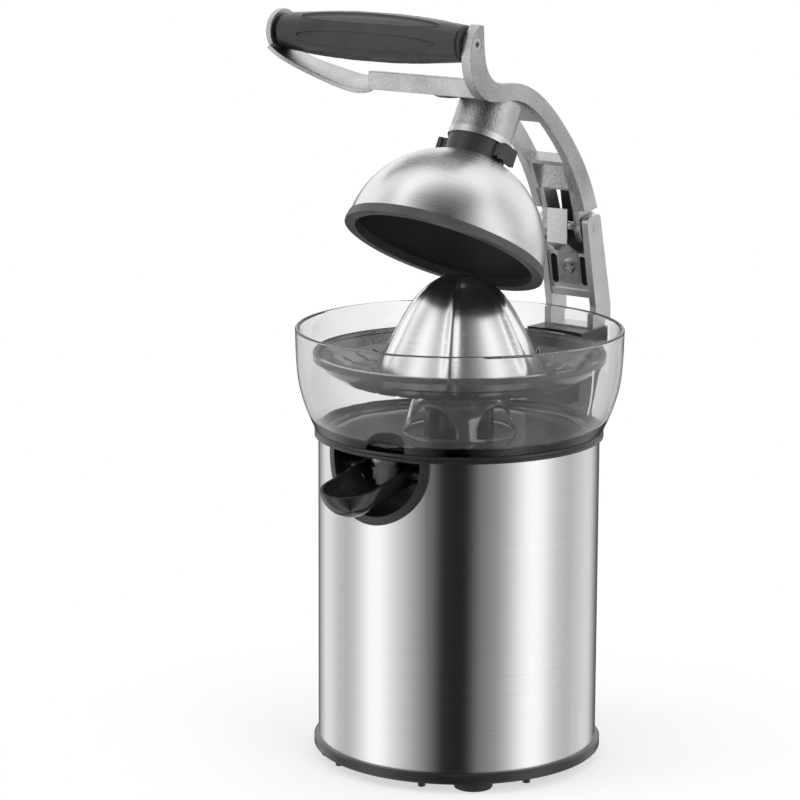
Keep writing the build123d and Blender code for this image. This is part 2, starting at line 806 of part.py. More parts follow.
# Smoky strainer dish with slanted slots.
rim_underside = strainer_rim_level - strainer_rim_height
wall_middle = (
    strainer_floor_radius + strainer_wall_share[0] * (strainer_wall_radius - strainer_floor_radius),
    strainer_edge_level + strainer_wall_share[1] * (rim_underside - strainer_edge_level),
)
with BuildPart() as strainer:
    with BuildSketch(Plane.XZ):
        with BuildLine():
            Polyline(
                (strainer_bore, strainer_floor_level),
                (strainer_floor_radius, strainer_edge_level),
                wall_middle,
                (strainer_wall_radius, rim_underside),
                (strainer_rim_radius, rim_underside),
                (strainer_rim_radius, strainer_rim_level),
                (strainer_wall_radius - strainer_wall_thickness, strainer_rim_level),
                (wall_middle[0] - strainer_wall_thickness, wall_middle[1] + strainer_wall_thickness),
                (strainer_floor_radius, strainer_edge_level + strainer_floor),
                (strainer_bore, strainer_floor_level + strainer_floor),
                close=True,
            )
        make_face()
    revolve(axis=Axis.Z)
    with BuildSketch(Plane.XY.offset(strainer_floor_level - overrun)):
        with PolarLocations(strainer_slot_circle, strainer_slot_count):
            SlotOverall(strainer_slot_length, strainer_slot_width, rotation=strainer_slot_slant)
        with PolarLocations(floor_slot_circle, strainer_slot_count):
            SlotOverall(floor_slot_length, strainer_slot_width, rotation=strainer_slot_slant)
    extrude(amount=strainer_rim_level - strainer_floor_level + 2 * overrun, mode=Mode.SUBTRACT)
strainer.part.label = "strainer"
export_step(strainer.part, "parts/strainer.step")

# Steel reamer cone: a ribbed shell over the hub.
with BuildPart() as reamer_cone:
    for (radius, rise), rib in zip(cone_outline, cone_rib_heights):
        with BuildSketch(Plane.XY.offset(cone_bottom + rise)):
            with BuildLine():
                Spline(cone_section(radius, rib), periodic=True)
            make_face()
    loft()
    with BuildSketch(Plane.XZ):
        with BuildLine():
            Polyline(
                [(0, cone_bottom - overrun)]
                + [(cone_outline[0][0] - 2 * cone_wall, cone_bottom - overrun)]
                + [(r - 2 * cone_wall, cone_bottom + z) for r, z in cone_outline[:-2]]
                + [(0, cone_bottom + cone_outline[-2][1] - 2 * cone_wall)],
                close=True,
            )
        make_face()
    revolve(axis=Axis.Z, mode=Mode.SUBTRACT)
reamer_cone.part.label = "reamer_cone"
export_step(reamer_cone.part, "parts/reamer_cone.step")

# Black hub inside the cone, driven by the shaft's hexagon.
with BuildPart() as cone_hub:
    with BuildSketch(Plane.XY.offset(hub_bottom)):
        RegularPolygon(hub_radius, 6)
    extrude(amount=cone_bottom - hub_bottom)
    with BuildSketch(Plane.XZ):
        with BuildLine():
            Polyline(
                (0, cone_bottom),
                (hub_seat_radius, cone_bottom),
                (hub_seat_radius - cone_inner_slope * hub_flange, cone_bottom + hub_flange),
                (0, cone_bottom + hub_flange),
                close=True,
            )
        make_face()
    revolve(axis=Axis.Z)
    with BuildSketch(Plane.XY.offset(cone_bottom)):
        Circle(hub_spigot_radius)
    extrude(amount=hub_top - cone_bottom)
    with BuildSketch(Plane.XY.offset(hub_bottom - overrun)):
        RegularPolygon(drive_hex_radius + static_gap, 6)
    extrude(amount=drive_top + static_gap - hub_bottom + overrun, mode=Mode.SUBTRACT)
cone_hub.part.label = "cone_hub"
export_step(cone_hub.part, "parts/cone_hub.step")

# Output shaft: a shoulder under its lower bush and a hexagon at the top.
with BuildPart() as drive_shaft:
    with BuildSketch(Plane.XY.offset(output_bottom)):
        Circle(drive_radius)
    extrude(amount=drive_hex_bottom - output_bottom)
    with BuildSketch(Plane.XY.offset(output_bottom + output_width)):
        Circle(drive_shoulder_radius)
    extrude(amount=drive_shoulder_height)
    with BuildSketch(Plane.XY.offset(drive_hex_bottom)):
        RegularPolygon(drive_hex_radius, 6)
    extrude(amount=drive_top - drive_hex_bottom)
drive_shaft.part.label = "drive_shaft"
export_step(drive_shaft.part, "parts/drive_shaft.step")

# Output wheel on the shaft; a gap between its teeth faces the idler at +Y.
with BuildPart() as output_gear:
    with BuildSketch(Plane.XY.offset(output_bottom)):
        with BuildLine():
            Polyline(gear_outline(wheel_teeth, 90 + 180 / wheel_teeth), close=True)
        make_face()
        Circle(drive_radius, mode=Mode.SUBTRACT)
    extrude(amount=output_width)
output_gear.part.label = "output_gear"
export_step(output_gear.part, "parts/output_gear.step")

# Idler behind the axis: a wheel that the motor's pinion turns, and a pinion above it.
with BuildPart() as idler_gear:
    with BuildSketch(Plane((0, gear_centres, idler_bottom))):
        with BuildLine():
            Polyline(gear_outline(wheel_teeth, 270 + 180 / wheel_teeth), close=True)
        make_face()
    extrude(amount=idler_wheel_width)
    with BuildSketch(Plane((0, gear_centres, idler_bottom + idler_wheel_width))):
        with BuildLine():
            Polyline(gear_outline(pinion_teeth, 270), close=True)
        make_face()
    extrude(amount=idler_top - idler_bottom - idler_wheel_width)
    with BuildSketch(Plane((0, gear_centres, idler_bottom - overrun))):
        Circle(axle_radius + running_gap)
    extrude(amount=idler_top - idler_bottom + 2 * overrun, mode=Mode.SUBTRACT)
idler_gear.part.label = "idler_gear"
export_step(idler_gear.part, "parts/idler_gear.step")

with BuildPart() as idler_axle:
    with BuildSketch(Plane((0, gear_centres, gearbox_plate_bottom))):
        Circle(axle_radius)
    extrude(amount=gearbox_roof_top - gearbox_plate_bottom)
idler_axle.part.label = "idler_axle"
export_step(idler_axle.part, "parts/idler_axle.step")

# Gearbox floor, which the motor hangs under.
with BuildPart() as gearbox_plate_piece:
    with BuildSketch(Plane.XY.offset(gearbox_plate_bottom)):
        Circle(gearbox_radius)
        Circle(motor_bearing_radius + moving_gap, mode=Mode.SUBTRACT)
        with Locations((0, gear_centres)):
            Circle(axle_radius, mode=Mode.SUBTRACT)
    extrude(amount=gearbox_plate)
gearbox_plate_piece.part.label = "gearbox_floor"
export_step(gearbox_plate_piece.part, "parts/gearbox_floor.step")

# Gearbox cover with the tower that guides the shaft and four posts under the deck.
with BuildPart() as gearbox_cover:
    with BuildSketch(Plane.XY.offset(gearbox_plate_top)):
        Circle(gearbox_radius)
        Circle(gearbox_radius - gearbox_wall, mode=Mode.SUBTRACT)
    extrude(amount=gearbox_roof_bottom - gearbox_plate_top)
    with BuildSketch(Plane.XY.offset(gearbox_roof_bottom)):
        Circle(gearbox_radius)
    extrude(amount=gearbox_roof)
    with BuildSketch(Plane.XY.offset(gearbox_roof_top)):
        Circle(tower_radius)
    extrude(amount=tower_top - gearbox_roof_top)
    with BuildSketch(Plane.XY.offset(gearbox_roof_top)):
        with GridLocations(2 * post_offset, 2 * post_offset, 2, 2):
            Circle(post_radius)
    extrude(amount=deck_bottom - gearbox_roof_top)
    with BuildSketch(Plane.XY.offset(gearbox_roof_bottom - overrun)):
        Circle(tower_bore)
    extrude(amount=tower_top - gearbox_roof_bottom + 2 * overrun, mode=Mode.SUBTRACT)
    with BuildSketch(Plane.XY.offset(gearbox_roof_bottom - overrun)):
        with Locations((0, gear_centres)):
            Circle(axle_radius)
    extrude(amount=gearbox_roof + 2 * overrun, mode=Mode.SUBTRACT)
gearbox_cover.part.label = "gearbox_cover"
export_step(gearbox_cover.part, "parts/gearbox_cover.step")

# Two bronze bushes and a seal in the tower.
with BuildPart() as lower_bush:
    with BuildSketch(Plane.XY.offset(drive_bush_bottom)):
        Circle(tower_bore)
        Circle(drive_radius + running_gap, mode=Mode.SUBTRACT)
    extrude(amount=drive_bush_length)
lower_bush.part.label = "lower_bush"
export_step(lower_bush.part, "parts/lower_bush.step")

with BuildPart() as upper_bush:
    with BuildSketch(Plane.XY.offset(upper_bush_bottom)):
        Circle(tower_bore)
        Circle(drive_radius + running_gap, mode=Mode.SUBTRACT)
    extrude(amount=drive_bush_length)
upper_bush.part.label = "upper_bush"
export_step(upper_bush.part, "parts/upper_bush.step")

with BuildPart() as shaft_seal:
    with BuildSketch(Plane.XY.offset(upper_bush_bottom + drive_bush_length)):
        Circle(tower_bore)
        Circle(drive_radius + moving_gap, mode=Mode.SUBTRACT)
    extrude(amount=seal_length)
shaft_seal.part.label = "shaft_seal"
export_step(shaft_seal.part, "parts/shaft_seal.step")

# Motor: a can with a bearing in its floor, a cap with another, and the stator between.
with BuildPart() as motor_can:
    with BuildSketch(Plane.XY.offset(motor_bottom)):
        Circle(motor_radius)
    extrude(amount=motor_top - motor_bottom)
    with BuildSketch(Plane.XY.offset(motor_bottom + motor_wall)):
        Circle(motor_radius - motor_wall)
    extrude(amount=motor_top - motor_bottom, mode=Mode.SUBTRACT)
    with BuildSketch(Plane.XY.offset(motor_bottom)):
        Circle(motor_bearing_radius)
    extrude(amount=motor_bearing_height)
    with BuildSketch(Plane.XY.offset(motor_bottom - overrun)):
        Circle(motor_shaft_radius + running_gap)
    extrude(amount=motor_bearing_height + 2 * overrun, mode=Mode.SUBTRACT)
motor_can.part.label = "motor_can"
export_step(motor_can.part, "parts/motor_can.step")

with BuildPart() as motor_cap_piece:
    with BuildSketch(Plane.XY.offset(motor_top)):
        Circle(motor_radius)
    extrude(amount=motor_cap)
    with BuildSketch(Plane.XY.offset(motor_top + motor_cap)):
        Circle(motor_bearing_radius)
    extrude(amount=gearbox_plate)
    with BuildSketch(Plane.XY.offset(motor_top - overrun)):
        Circle(motor_shaft_radius + running_gap)
    extrude(amount=motor_cap + gearbox_plate + 2 * overrun, mode=Mode.SUBTRACT)
motor_cap_piece.part.label = "motor_cap"
export_step(motor_cap_piece.part, "parts/motor_cap.step")

with BuildPart() as motor_stator:
    with BuildSketch(Plane.XY.offset(stator_bottom)):
        Circle(motor_radius - motor_wall)
        Circle(stator_bore, mode=Mode.SUBTRACT)
        with PolarLocations(stator_bore, stator_slot_count):
            Rectangle(2 * stator_slot_depth, stator_slot_width, mode=Mode.SUBTRACT)
    extrude(amount=stator_height)
motor_stator.part.label = "motor_stator"
export_step(motor_stator.part, "parts/motor_stator.step")

# Rotor: a slotted core and a fan on one shaft, with the pinion at its top.
with BuildPart() as rotor_core:
    with BuildSketch(Plane.XY.offset(stator_bottom)):
        Circle(rotor_radius)
        Circle(motor_shaft_radius, mode=Mode.SUBTRACT)
        with PolarLocations(rotor_radius - rotor_slot_depth / 2, rotor_slot_count):
            Rectangle(2 * rotor_slot_depth, rotor_slot_width, mode=Mode.SUBTRACT)
    extrude(amount=stator_height)
rotor_core.part.label = "rotor_core"
export_step(rotor_core.part, "parts/rotor_core.step")

with BuildPart() as motor_shaft:
    with BuildSketch(Plane.XY.offset(motor_shaft_bottom)):
        Circle(motor_shaft_radius)
    extrude(amount=pinion_bottom + pinion_width - motor_shaft_bottom)
motor_shaft.part.label = "motor_shaft"
export_step(motor_shaft.part, "parts/motor_shaft.step")

with BuildPart() as pinion:
    with BuildSketch(Plane.XY.offset(pinion_bottom)):
        with BuildLine():
            Polyline(gear_outline(pinion_teeth, 90), close=True)
        make_face()
        Circle(motor_shaft_radius, mode=Mode.SUBTRACT)
    extrude(amount=pinion_width)
pinion.part.label = "pinion"
export_step(pinion.part, "parts/pinion.step")

with BuildPart() as cooling_fan:
    with BuildSketch(Plane.XY.offset(fan_bottom)):
        Circle(fan_radius)
    extrude(amount=fan_plate)
    with BuildSketch(Plane.XY.offset(fan_bottom)):
        Circle(fan_hub_radius)
    extrude(amount=fan_height)
    with BuildSketch(Plane.XY.offset(fan_bottom + fan_plate)):
        with PolarLocations((fan_hub_radius + fan_radius) / 2 - fan_blade, fan_blade_count):
            Rectangle(fan_radius - fan_hub_radius, fan_blade)
    extrude(amount=fan_height - fan_plate)
    with BuildSketch(Plane.XY.offset(fan_bottom - overrun)):
        Circle(motor_shaft_radius)
    extrude(amount=fan_height + 2 * overrun, mode=Mode.SUBTRACT)
cooling_fan.part.label = "cooling_fan"
export_step(cooling_fan.part, "parts/cooling_fan.step")

# Smoky drip spout: a half-round trough with a rounded nose, turning on two side pins.
slope = math.radians(spout_slope)
spout_nose = Vector(0, -spout_nose_place, spout_nose_level)
spout_back = Vector(0, math.cos(slope), math.sin(slope))
spout_length = (spout_nose_place - spout_back_place) / math.cos(slope)
spout_section = Plane(origin=spout_nose, x_dir=(1, 0, 0), z_dir=spout_back)
spout_stop = spout_nose + spout_back * (spout_length - spout_wall)
spout_end = Plane(origin=spout_stop, x_dir=(1, 0, 0), z_dir=spout_back)
spout_pin_length = notch_half_width + spout_pin_seat
with BuildPart() as drip_spout:
    with BuildSketch(spout_section) as spout_half:
        Circle(spout_radius)
        Circle(spout_radius - spout_wall, mode=Mode.SUBTRACT)
        Rectangle(
            2 * spout_radius + overrun,
            spout_radius + overrun,
            align=(Align.CENTER, Align.MAX),
            mode=Mode.SUBTRACT,
        )
    extrude(amount=spout_length)
    revolve(spout_half.sketch, axis=Axis(spout_nose, (-1, 0, 0)), revolution_arc=90)
    with BuildSketch(spout_end):
        Circle(spout_radius)
        Rectangle(
            2 * spout_radius + overrun,
            spout_radius + overrun,
            align=(Align.CENTER, Align.MAX),
            mode=Mode.SUBTRACT,
        )
    extrude(amount=spout_wall)
    for side in (1, -1):
        with BuildSketch(Plane.YZ.offset(side * (spout_radius - spout_wall))):
            with Locations((-spout_pivot_place, spout_pivot_level)):
                Circle(spout_pin_radius)
        extrude(amount=side * (spout_pin_length - spout_radius + spout_wall))
drip_spout.part.label = "drip_spout"
export_step(drip_spout.part, "parts/drip_spout.step")

# Column: two legs leaning to the front, a web between them and a solid foot in the bracket.
lean = math.radians(column_lean)
column_up = (-math.sin(lean), math.cos(lean))
column_front = (-math.cos(lean), -math.sin(lean))
half_depth = column_depth / 2


def column_point(rise, front):
    return (
        pin_place + rise * column_up[0] + front * column_front[0],
        pin_level + rise * column_up[1] + front * column_front[1],
    )


def column_plane(front):
    y, z = column_point(0, front)
    return Plane(origin=(0, y, z), x_dir=(1, 0, 0), z_dir=(0, column_front[0], column_front[1]))


knee_drop = (column_knee - pin_level) / math.cos(lean)
knee_middle = column_point(knee_drop, 0)[0]
leg_outline = [
    column_point(column_top_rise, column_top_front),
    column_point(column_top_rise, -column_top_back),
    (knee_middle + half_depth, column_knee),
    (knee_middle + half_depth, column_foot),
    (knee_middle - half_depth, column_foot),
    (knee_middle - half_depth, column_knee),
]
web_front = half_depth - column_web_recess
with BuildPart() as column:
    for start in (leg_inner, -lever_half_width):
        with BuildSketch(Plane.YZ.offset(start)) as leg:
            with BuildLine():
                Polyline(leg_outline, close=True)
            make_face()
            fillet(leg.vertices().sort_by(Axis.Y)[-2:], column_corner)
        extrude(amount=lever_half_width - leg_inner)
    with BuildSketch(Plane.XY.offset(column_foot)):
        with Locations((0, knee_middle)):
            Rectangle(2 * lever_half_width, column_depth)
    extrude(amount=column_knee - column_foot)
    with BuildSketch(Plane.XZ.offset(-(knee_middle + half_depth + overrun))):
        for place in column_screw_places:
            with Locations((place, column_screw_level)):
                Circle(column_screw_radius + static_gap)
    extrude(amount=column_screw_length + overrun, mode=Mode.SUBTRACT)
    with BuildSketch(column_plane(web_front - column_web)):
        with Locations((0, -column_web_drop)):
            Rectangle(2 * leg_inner, -knee_drop - column_web_drop, align=(Align.CENTER, Align.MAX))
        with Locations((0, -leaf_screw_drop)):
            Circle(leaf_screw_radius, mode=Mode.SUBTRACT)
    extrude(amount=column_web)
    with BuildSketch(column_plane(web_front - web_slot_depth)):
        with Locations((web_slot_place, -web_slot_drop), (-web_slot_place, -web_slot_drop)):
            SlotOverall(web_slot_length, web_slot_width, rotation=90)
    extrude(amount=web_slot_depth + overrun, mode=Mode.SUBTRACT)
    with BuildSketch(column_plane(-half_depth + column_web_recess)):
        with Locations((0, -column_panel_drop)):
            Rectangle(2 * leg_inner, -knee_drop - column_panel_drop, align=(Align.CENTER, Align.MAX))
    extrude(amount=column_depth - column_web_recess - column_panel_recess)
    with BuildSketch(Plane.XY.offset(window_bottom)):
        with Locations((0, knee_middle)):
            Rectangle(2 * leg_inner, 2 * column_depth)
    extrude(amount=window_top - window_bottom, mode=Mode.SUBTRACT)
    with BuildSketch(Plane.YZ.offset(-lever_half_width - overrun)):
        with Locations((pin_place, pin_level)):
            Circle(pin_radius)
    extrude(amount=2 * (lever_half_width + overrun), mode=Mode.SUBTRACT)
column.part.label = "column"
export_step(column.part, "parts/column.step")

with BuildPart() as hinge_pin:
    with BuildSketch(Plane.YZ.offset(-lever_half_width - static_gap)):
        with Locations((pin_place, pin_level)):
            Circle(pin_radius)
    extrude(amount=2 * (lever_half_width + static_gap))
hinge_pin.part.label = "hinge_pin"
export_step(hinge_pin.part, "parts/hinge_pin.step")

# Bent leaf spring on the web, held by one cross-headed screw.
with BuildPart() as leaf_spring:
    with BuildSketch(Plane.YZ.offset(-leaf_half_width)):
        with BuildLine():
            Polyline(
                column_point(-leaf_bottom_drop, web_front),
                column_point(-leaf_bend_drop, web_front),
                column_point(-leaf_fold_drop, web_front + leaf_fold_reach),
                column_point(leaf_top_rise, web_front + leaf_reach),
                column_point(leaf_top_rise, web_front + leaf_reach + leaf_thickness),
                column_point(-leaf_fold_drop, web_front + leaf_fold_reach + leaf_thickness),
                column_point(-leaf_bend_drop, web_front + leaf_thickness),
                column_point(-leaf_bottom_drop, web_front + leaf_thickness),
                close=True,
            )
        make_face()
    extrude(amount=2 * leaf_half_width)
    with BuildSketch(column_plane(web_front - overrun)):
        with Locations((0, -leaf_screw_drop)):
            Circle(leaf_screw_radius)
    extrude(amount=leaf_thickness + 2 * overrun, mode=Mode.SUBTRACT)
leaf_spring.part.label = "leaf_spring"
export_step(leaf_spring.part, "parts/leaf_spring.step")

with BuildPart() as leaf_screw:
    with BuildSketch(column_plane(web_front - column_web)):
        with Locations((0, -leaf_screw_drop)):
            Circle(leaf_screw_radius)
    extrude(amount=column_web + leaf_thickness)
    with BuildSketch(column_plane(web_front + leaf_thickness)):
        with Locations((0, -leaf_screw_drop)):
            Circle(leaf_head_radius)
    extrude(amount=leaf_head_height)
    with BuildSketch(column_plane(web_front + leaf_thickness + leaf_head_height / 2)):
        with Locations((0, -leaf_screw_drop)):
            Rectangle(leaf_head_radius, leaf_cross)
            Rectangle(leaf_cross, leaf_head_radius)
    extrude(amount=leaf_head_height, mode=Mode.SUBTRACT)
leaf_screw.part.label = "leaf_screw"
export_step(leaf_screw.part, "parts/leaf_screw.step")

# Black shield behind the hinge, flat on the web's back and stepped back round the pin.
shield_front = web_front - column_web - static_gap
shield_back = shield_front - shield_setback
with BuildPart() as hinge_shield:
    with BuildSketch(Plane.YZ.offset(-shield_half_width)):
        with BuildLine():
            Polyline(
                column_point(-shield_bottom_drop, shield_front),
                column_point(-shield_bend_drop, shield_front),
                column_point(-shield_fold_drop, shield_back),
                column_point(shield_top_rise, shield_back),
                column_point(shield_top_rise, shield_back - shield_thickness),
                column_point(-shield_fold_drop, shield_back - shield_thickness),
                column_point(-shield_bend_drop, shield_front - shield_thickness),
                column_point(-shield_bottom_drop, shield_front - shield_thickness),
                close=True,
            )
        make_face()
    extrude(amount=2 * shield_half_width)
hinge_shield.part.label = "hinge_shield"
export_step(hinge_shield.part, "parts/hinge_shield.step")

# Black bracket on the back of the body, with the socket that holds the column's foot.
bracket_back = knee_middle + half_depth + bracket_wall
bracket_front = body_radius - bracket_inset
bracket_slope = [(bracket_front, bracket_bottom)]
for proud, share in zip(bracket_proud, bracket_rise_shares):
    bracket_slope.append((body_radius + proud, bracket_bottom + share * bracket_height))
bracket_slope.append((bracket_back, bracket_bottom + bracket_back_share * bracket_height))
bracket_slope.append((bracket_back, bracket_top))
bracket_slope.append((bracket_front, bracket_top))
with BuildPart() as rear_bracket:
    with BuildSketch(Plane.YZ.offset(-bracket_half_width)):
        with BuildLine():
            Polyline(bracket_slope, close=True)
        make_face()
    extrude(amount=2 * bracket_half_width)
    fillet(rear_bracket.edges().filter_by(Axis.Z).group_by(Axis.Y)[-1], bracket_corner)
    with BuildSketch(Plane.XZ):
        with BuildLine():
            Polyline(
                (0, bracket_bottom - overrun),
                (body_radius, bracket_bottom - overrun),
                (body_radius, collar_bottom - static_gap),
                (collar_radius + static_gap, collar_bottom - static_gap),
                (collar_radius + static_gap, collar_top),
                (bracket_front_radius, collar_top),
                (bracket_front_radius, bracket_top + overrun),
                (0, bracket_top + overrun),
                close=True,
            )
        make_face()
    revolve(axis=Axis.Z, mode=Mode.SUBTRACT)
    with BuildSketch(Plane.XY.offset(column_foot)):
        with Locations((0, knee_middle)):
            Rectangle(2 * lever_half_width, column_depth)
    extrude(amount=bracket_top - column_foot + overrun, mode=Mode.SUBTRACT)
    with BuildSketch(Plane.XZ):
        for level in bracket_screw_levels:
            with Locations((0, level)):
                Circle(bracket_screw_radius + static_gap)
    extrude(amount=-(sleeve_inner + bracket_screw_length), mode=Mode.SUBTRACT)
    with BuildSketch(Plane.XZ.offset(-knee_middle)):
        for place in column_screw_places:
            with Locations((place, column_screw_level)):
                Circle(column_screw_radius + static_gap)
    extrude(amount=-(column_depth + overrun), mode=Mode.SUBTRACT)
rear_bracket.part.label = "rear_bracket"
export_step(rear_bracket.part, "parts/rear_bracket.step")

head_sagitta = sleeve_inner - math.sqrt(sleeve_inner**2 - bracket_screw_head**2)
head_seat = sleeve_inner - head_sagitta - static_gap
for number, level in enumerate(bracket_screw_levels):
    with BuildPart() as bracket_screw:
        with BuildSketch(Plane.XZ.offset(-(head_seat - bracket_screw_head_height))):
            with Locations((0, level)):
                Circle(bracket_screw_head)
        extrude(amount=-bracket_screw_head_height)
        with BuildSketch(Plane.XZ.offset(-head_seat)):
            with Locations((0, level)):
                Circle(bracket_screw_radius)
        extrude(amount=-bracket_screw_length)
    bracket_screw.part.label = "bracket_screw_%d" % (number + 1)
    export_step(bracket_screw.part, "parts/bracket_screw_%d.step" % (number + 1))

# Two screws from behind hold the column's foot in the bracket.
for number, place in enumerate(column_screw_places):
    with BuildPart() as column_screw:
        with BuildSketch(Plane.XZ.offset(-(bracket_back + column_screw_head_height))):
            with Locations((place, column_screw_level)):
                Circle(column_screw_head)
        extrude(amount=column_screw_head_height)
        with BuildSketch(Plane.XZ.offset(-bracket_back)):
            with Locations((place, column_screw_level)):
                Circle(column_screw_radius)
        extrude(amount=column_screw_length)
    column_screw.part.label = "column_screw_%d" % (number + 1)
    export_step(column_screw.part, "parts/column_screw_%d.step" % (number + 1))

# Inlet bush low on the back of the body.
with BuildPart() as cord_gland:
    with BuildSketch(Plane.XZ.offset(-(body_radius + gland_proud))):
        with Locations((0, gland_level)):
            Circle(gland_flange_radius)
    extrude(amount=gland_proud)
    with BuildSketch(Plane.XZ.offset(-body_radius)):
        with Locations((0, gland_level)):
            Circle(gland_radius)
    extrude(amount=gland_radius)
    with BuildSketch(Plane.XZ.offset(-(body_radius + gland_proud + overrun))):
        with Locations((0, gland_level)):
            Circle(gland_bore)
    extrude(amount=gland_proud + gland_radius + 2 * overrun, mode=Mode.SUBTRACT)
cord_gland.part.label = "cord_gland"
export_step(cord_gland.part, "parts/cord_gland.step")

# Cast lever arm: two rails, hinge lugs, a boss for the press, and the loop that holds the grip.
rail_width = lever_half_width - rail_inner
grip_y, grip_z = grip_axis
boss_bottom = neck_top + ring_height
with BuildPart() as lever_arm:
    for start in (rail_inner, -lever_half_width, upright_inner):
        with BuildSketch(Plane.YZ.offset(start)):
            with BuildLine():
                upper_edge = Spline(rail_upper)
                lower_edge = Spline(rail_lower)
                Line(upper_edge @ 1, lower_edge @ 0)
                Line(lower_edge @ 1, upper_edge @ 0)
            make_face()
            if start < 0:
                with Locations((left_rail_front, left_rail_top)):
                    Rectangle(
                        pin_place - left_rail_front + overrun,
                        strap_bottom,
                        align=(Align.MIN, Align.MAX),
                        mode=Mode.INTERSECT,
                    )
            if start == upright_inner:
                with Locations((upright_back, rail_lower[0][1])):
                    Rectangle(
                        pin_place, rail_upper[0][1], align=(Align.MAX, Align.MIN), mode=Mode.INTERSECT
                    )
        extrude(amount=rail_inner - upright_inner if start == upright_inner else rail_width)
    for start in (rail_inner, -lever_half_width - overrun):
        with BuildSketch(Plane.YZ.offset(start)):
            with Locations((pin_place, pin_level)):
                Circle(rail_end_radius)
        extrude(amount=rail_width + overrun, mode=Mode.SUBTRACT)
    for start in (lug_inner, -rail_inner):
        with BuildSketch(Plane.YZ.offset(start)):
            with BuildLine():
                Polyline(lug_outline, close=True)
            make_face()
            with Locations((pin_place, pin_level)):
                Circle(lug_radius)
        extrude(amount=rail_inner - lug_inner)
    with BuildSketch(Plane.YZ.offset(-rail_inner)):
        with BuildLine():
            Polyline(bridge_outline, close=True)
        make_face()
        with BuildLine():
            Polyline(cross_outline, close=True)
        make_face()
    extrude(amount=2 * rail_inner)
    with BuildSketch(Plane.YZ.offset(-cross_pocket_half_width)):
        with BuildLine():
            Polyline(cross_pocket, close=True)
        make_face()
    extrude(amount=2 * cross_pocket_half_width, mode=Mode.SUBTRACT)
    with BuildSketch(press_plane(boss_bottom)):
        Circle(boss_radius)
    extrude(amount=boss_top - boss_bottom)
    with BuildSketch(press_plane(boss_bottom - overrun)):
        Circle(spigot_radius + static_gap)
    extrude(amount=spigot_top + static_gap - boss_bottom + overrun, mode=Mode.SUBTRACT)
    with BuildSketch(Plane.YZ.offset(strap_fold - strap_lap)):
        with Locations((strap_front, strap_bottom)):
            Rectangle(strap_thickness, strap_height, align=(Align.MIN, Align.MIN))
    extrude(amount=strap_right - strap_fold + strap_lap)
    for centre, rise, twist, width, thickness in zip(
        strap_centres, strap_rises, strap_twists, strap_widths, strap_thicknesses
    ):
        climb = math.radians(rise)
        turn = math.radians(twist)
        run = Vector(-math.cos(climb), 0, math.sin(climb))
        across = Vector(
            math.sin(climb) * math.cos(turn), math.sin(turn), math.cos(climb) * math.cos(turn)
        )
        with BuildSketch(Plane(origin=centre, x_dir=across, z_dir=run)):
            Rectangle(width, thickness)
    loft()
    with BuildSketch(Plane.YZ.offset(end_plate_outer)):
        with Locations(grip_axis):
            Circle(end_plate_radius)
    extrude(amount=end_plate_inner - end_plate_outer)
    with BuildSketch(Plane.YZ.offset(end_plate_inner - rod_socket)):
        with Locations(grip_axis):
            Circle(rod_radius + static_gap)
    extrude(amount=rod_socket + overrun, mode=Mode.SUBTRACT)
    with BuildSketch(Plane.YZ.offset(upright_inner - overrun)):
        with Locations(grip_axis):
            Circle(rod_radius + static_gap)
    extrude(amount=rod_socket + overrun, mode=Mode.SUBTRACT)
    with BuildSketch(Plane.YZ.offset(upright_inner)):
        with Locations(grip_axis):
            Circle(screw_shank_radius + static_gap)
    extrude(amount=lever_half_width, mode=Mode.SUBTRACT)
    with BuildSketch(Plane.YZ.offset(lever_half_width - screw_head_height - static_gap)):
        with Locations(grip_axis):
            Circle(screw_head_radius + static_gap)
    extrude(amount=screw_head_height + overrun, mode=Mode.SUBTRACT)
    with BuildSketch(Plane.YZ.offset(-lever_half_width - overrun)):
        with Locations((pin_place, pin_level)):
            Circle(pin_radius + lug_bore_gap)
    extrude(amount=2 * (lever_half_width + overrun), mode=Mode.SUBTRACT)
lever_arm.part.label = "lever_arm"
export_step(lever_arm.part, "parts/lever_arm.step")

# Black barrel grip with long oval facets, on a steel rod between the loop's two ends.
grip_middle = (grip_left + grip_right) / 2
grip_half = (grip_right - grip_left) / 2
grip_turn = Axis((0, grip_y, grip_z), (1, 0, 0))
with BuildPart() as grip:
    with BuildSketch(Plane(origin=(0, grip_y, grip_z), x_dir=(1, 0, 0), z_dir=(0, -1, 0))):
        with BuildLine():
            Polyline(
                (grip_right - grip_edge, grip_end_radius),
                (grip_right, grip_end_radius - grip_edge),
                (grip_right, rod_radius + static_gap),
                (grip_left, rod_radius + static_gap),
                (grip_left, grip_end_radius - grip_edge),
                (grip_left + grip_edge, grip_end_radius),
            )
            ThreePointArc(
                (grip_left + grip_edge, grip_end_radius),
                (grip_middle, grip_middle_radius),
                (grip_right - grip_edge, grip_end_radius),
            )
        make_face()
    revolve(axis=grip_turn)
    for number in range(grip_facet_count):
        angle = 2 * math.pi * number / grip_facet_count
        outward = Vector(0, -math.cos(angle), math.sin(angle))
        sideways = Vector(1, 0, 0).cross(outward)
        facet = Plane(origin=Vector(grip_middle, grip_y, grip_z), x_dir=(1, 0, 0), z_dir=sideways)
        with BuildSketch(facet):
            with BuildLine():
                facet_curve = ThreePointArc(
                    (-grip_half, grip_facet - grip_facet_sag),
                    (0, grip_facet),
                    (grip_half, grip_facet - grip_facet_sag),
                )
                Polyline(
                    facet_curve @ 1,
                    (grip_half, 2 * grip_middle_radius),
                    (-grip_half, 2 * grip_middle_radius),
                    facet_curve @ 0,
                )
            make_face()
        extrude(amount=grip_middle_radius, both=True, mode=Mode.SUBTRACT)
grip.part.label = "grip"
export_step(grip.part, "parts/grip.step")

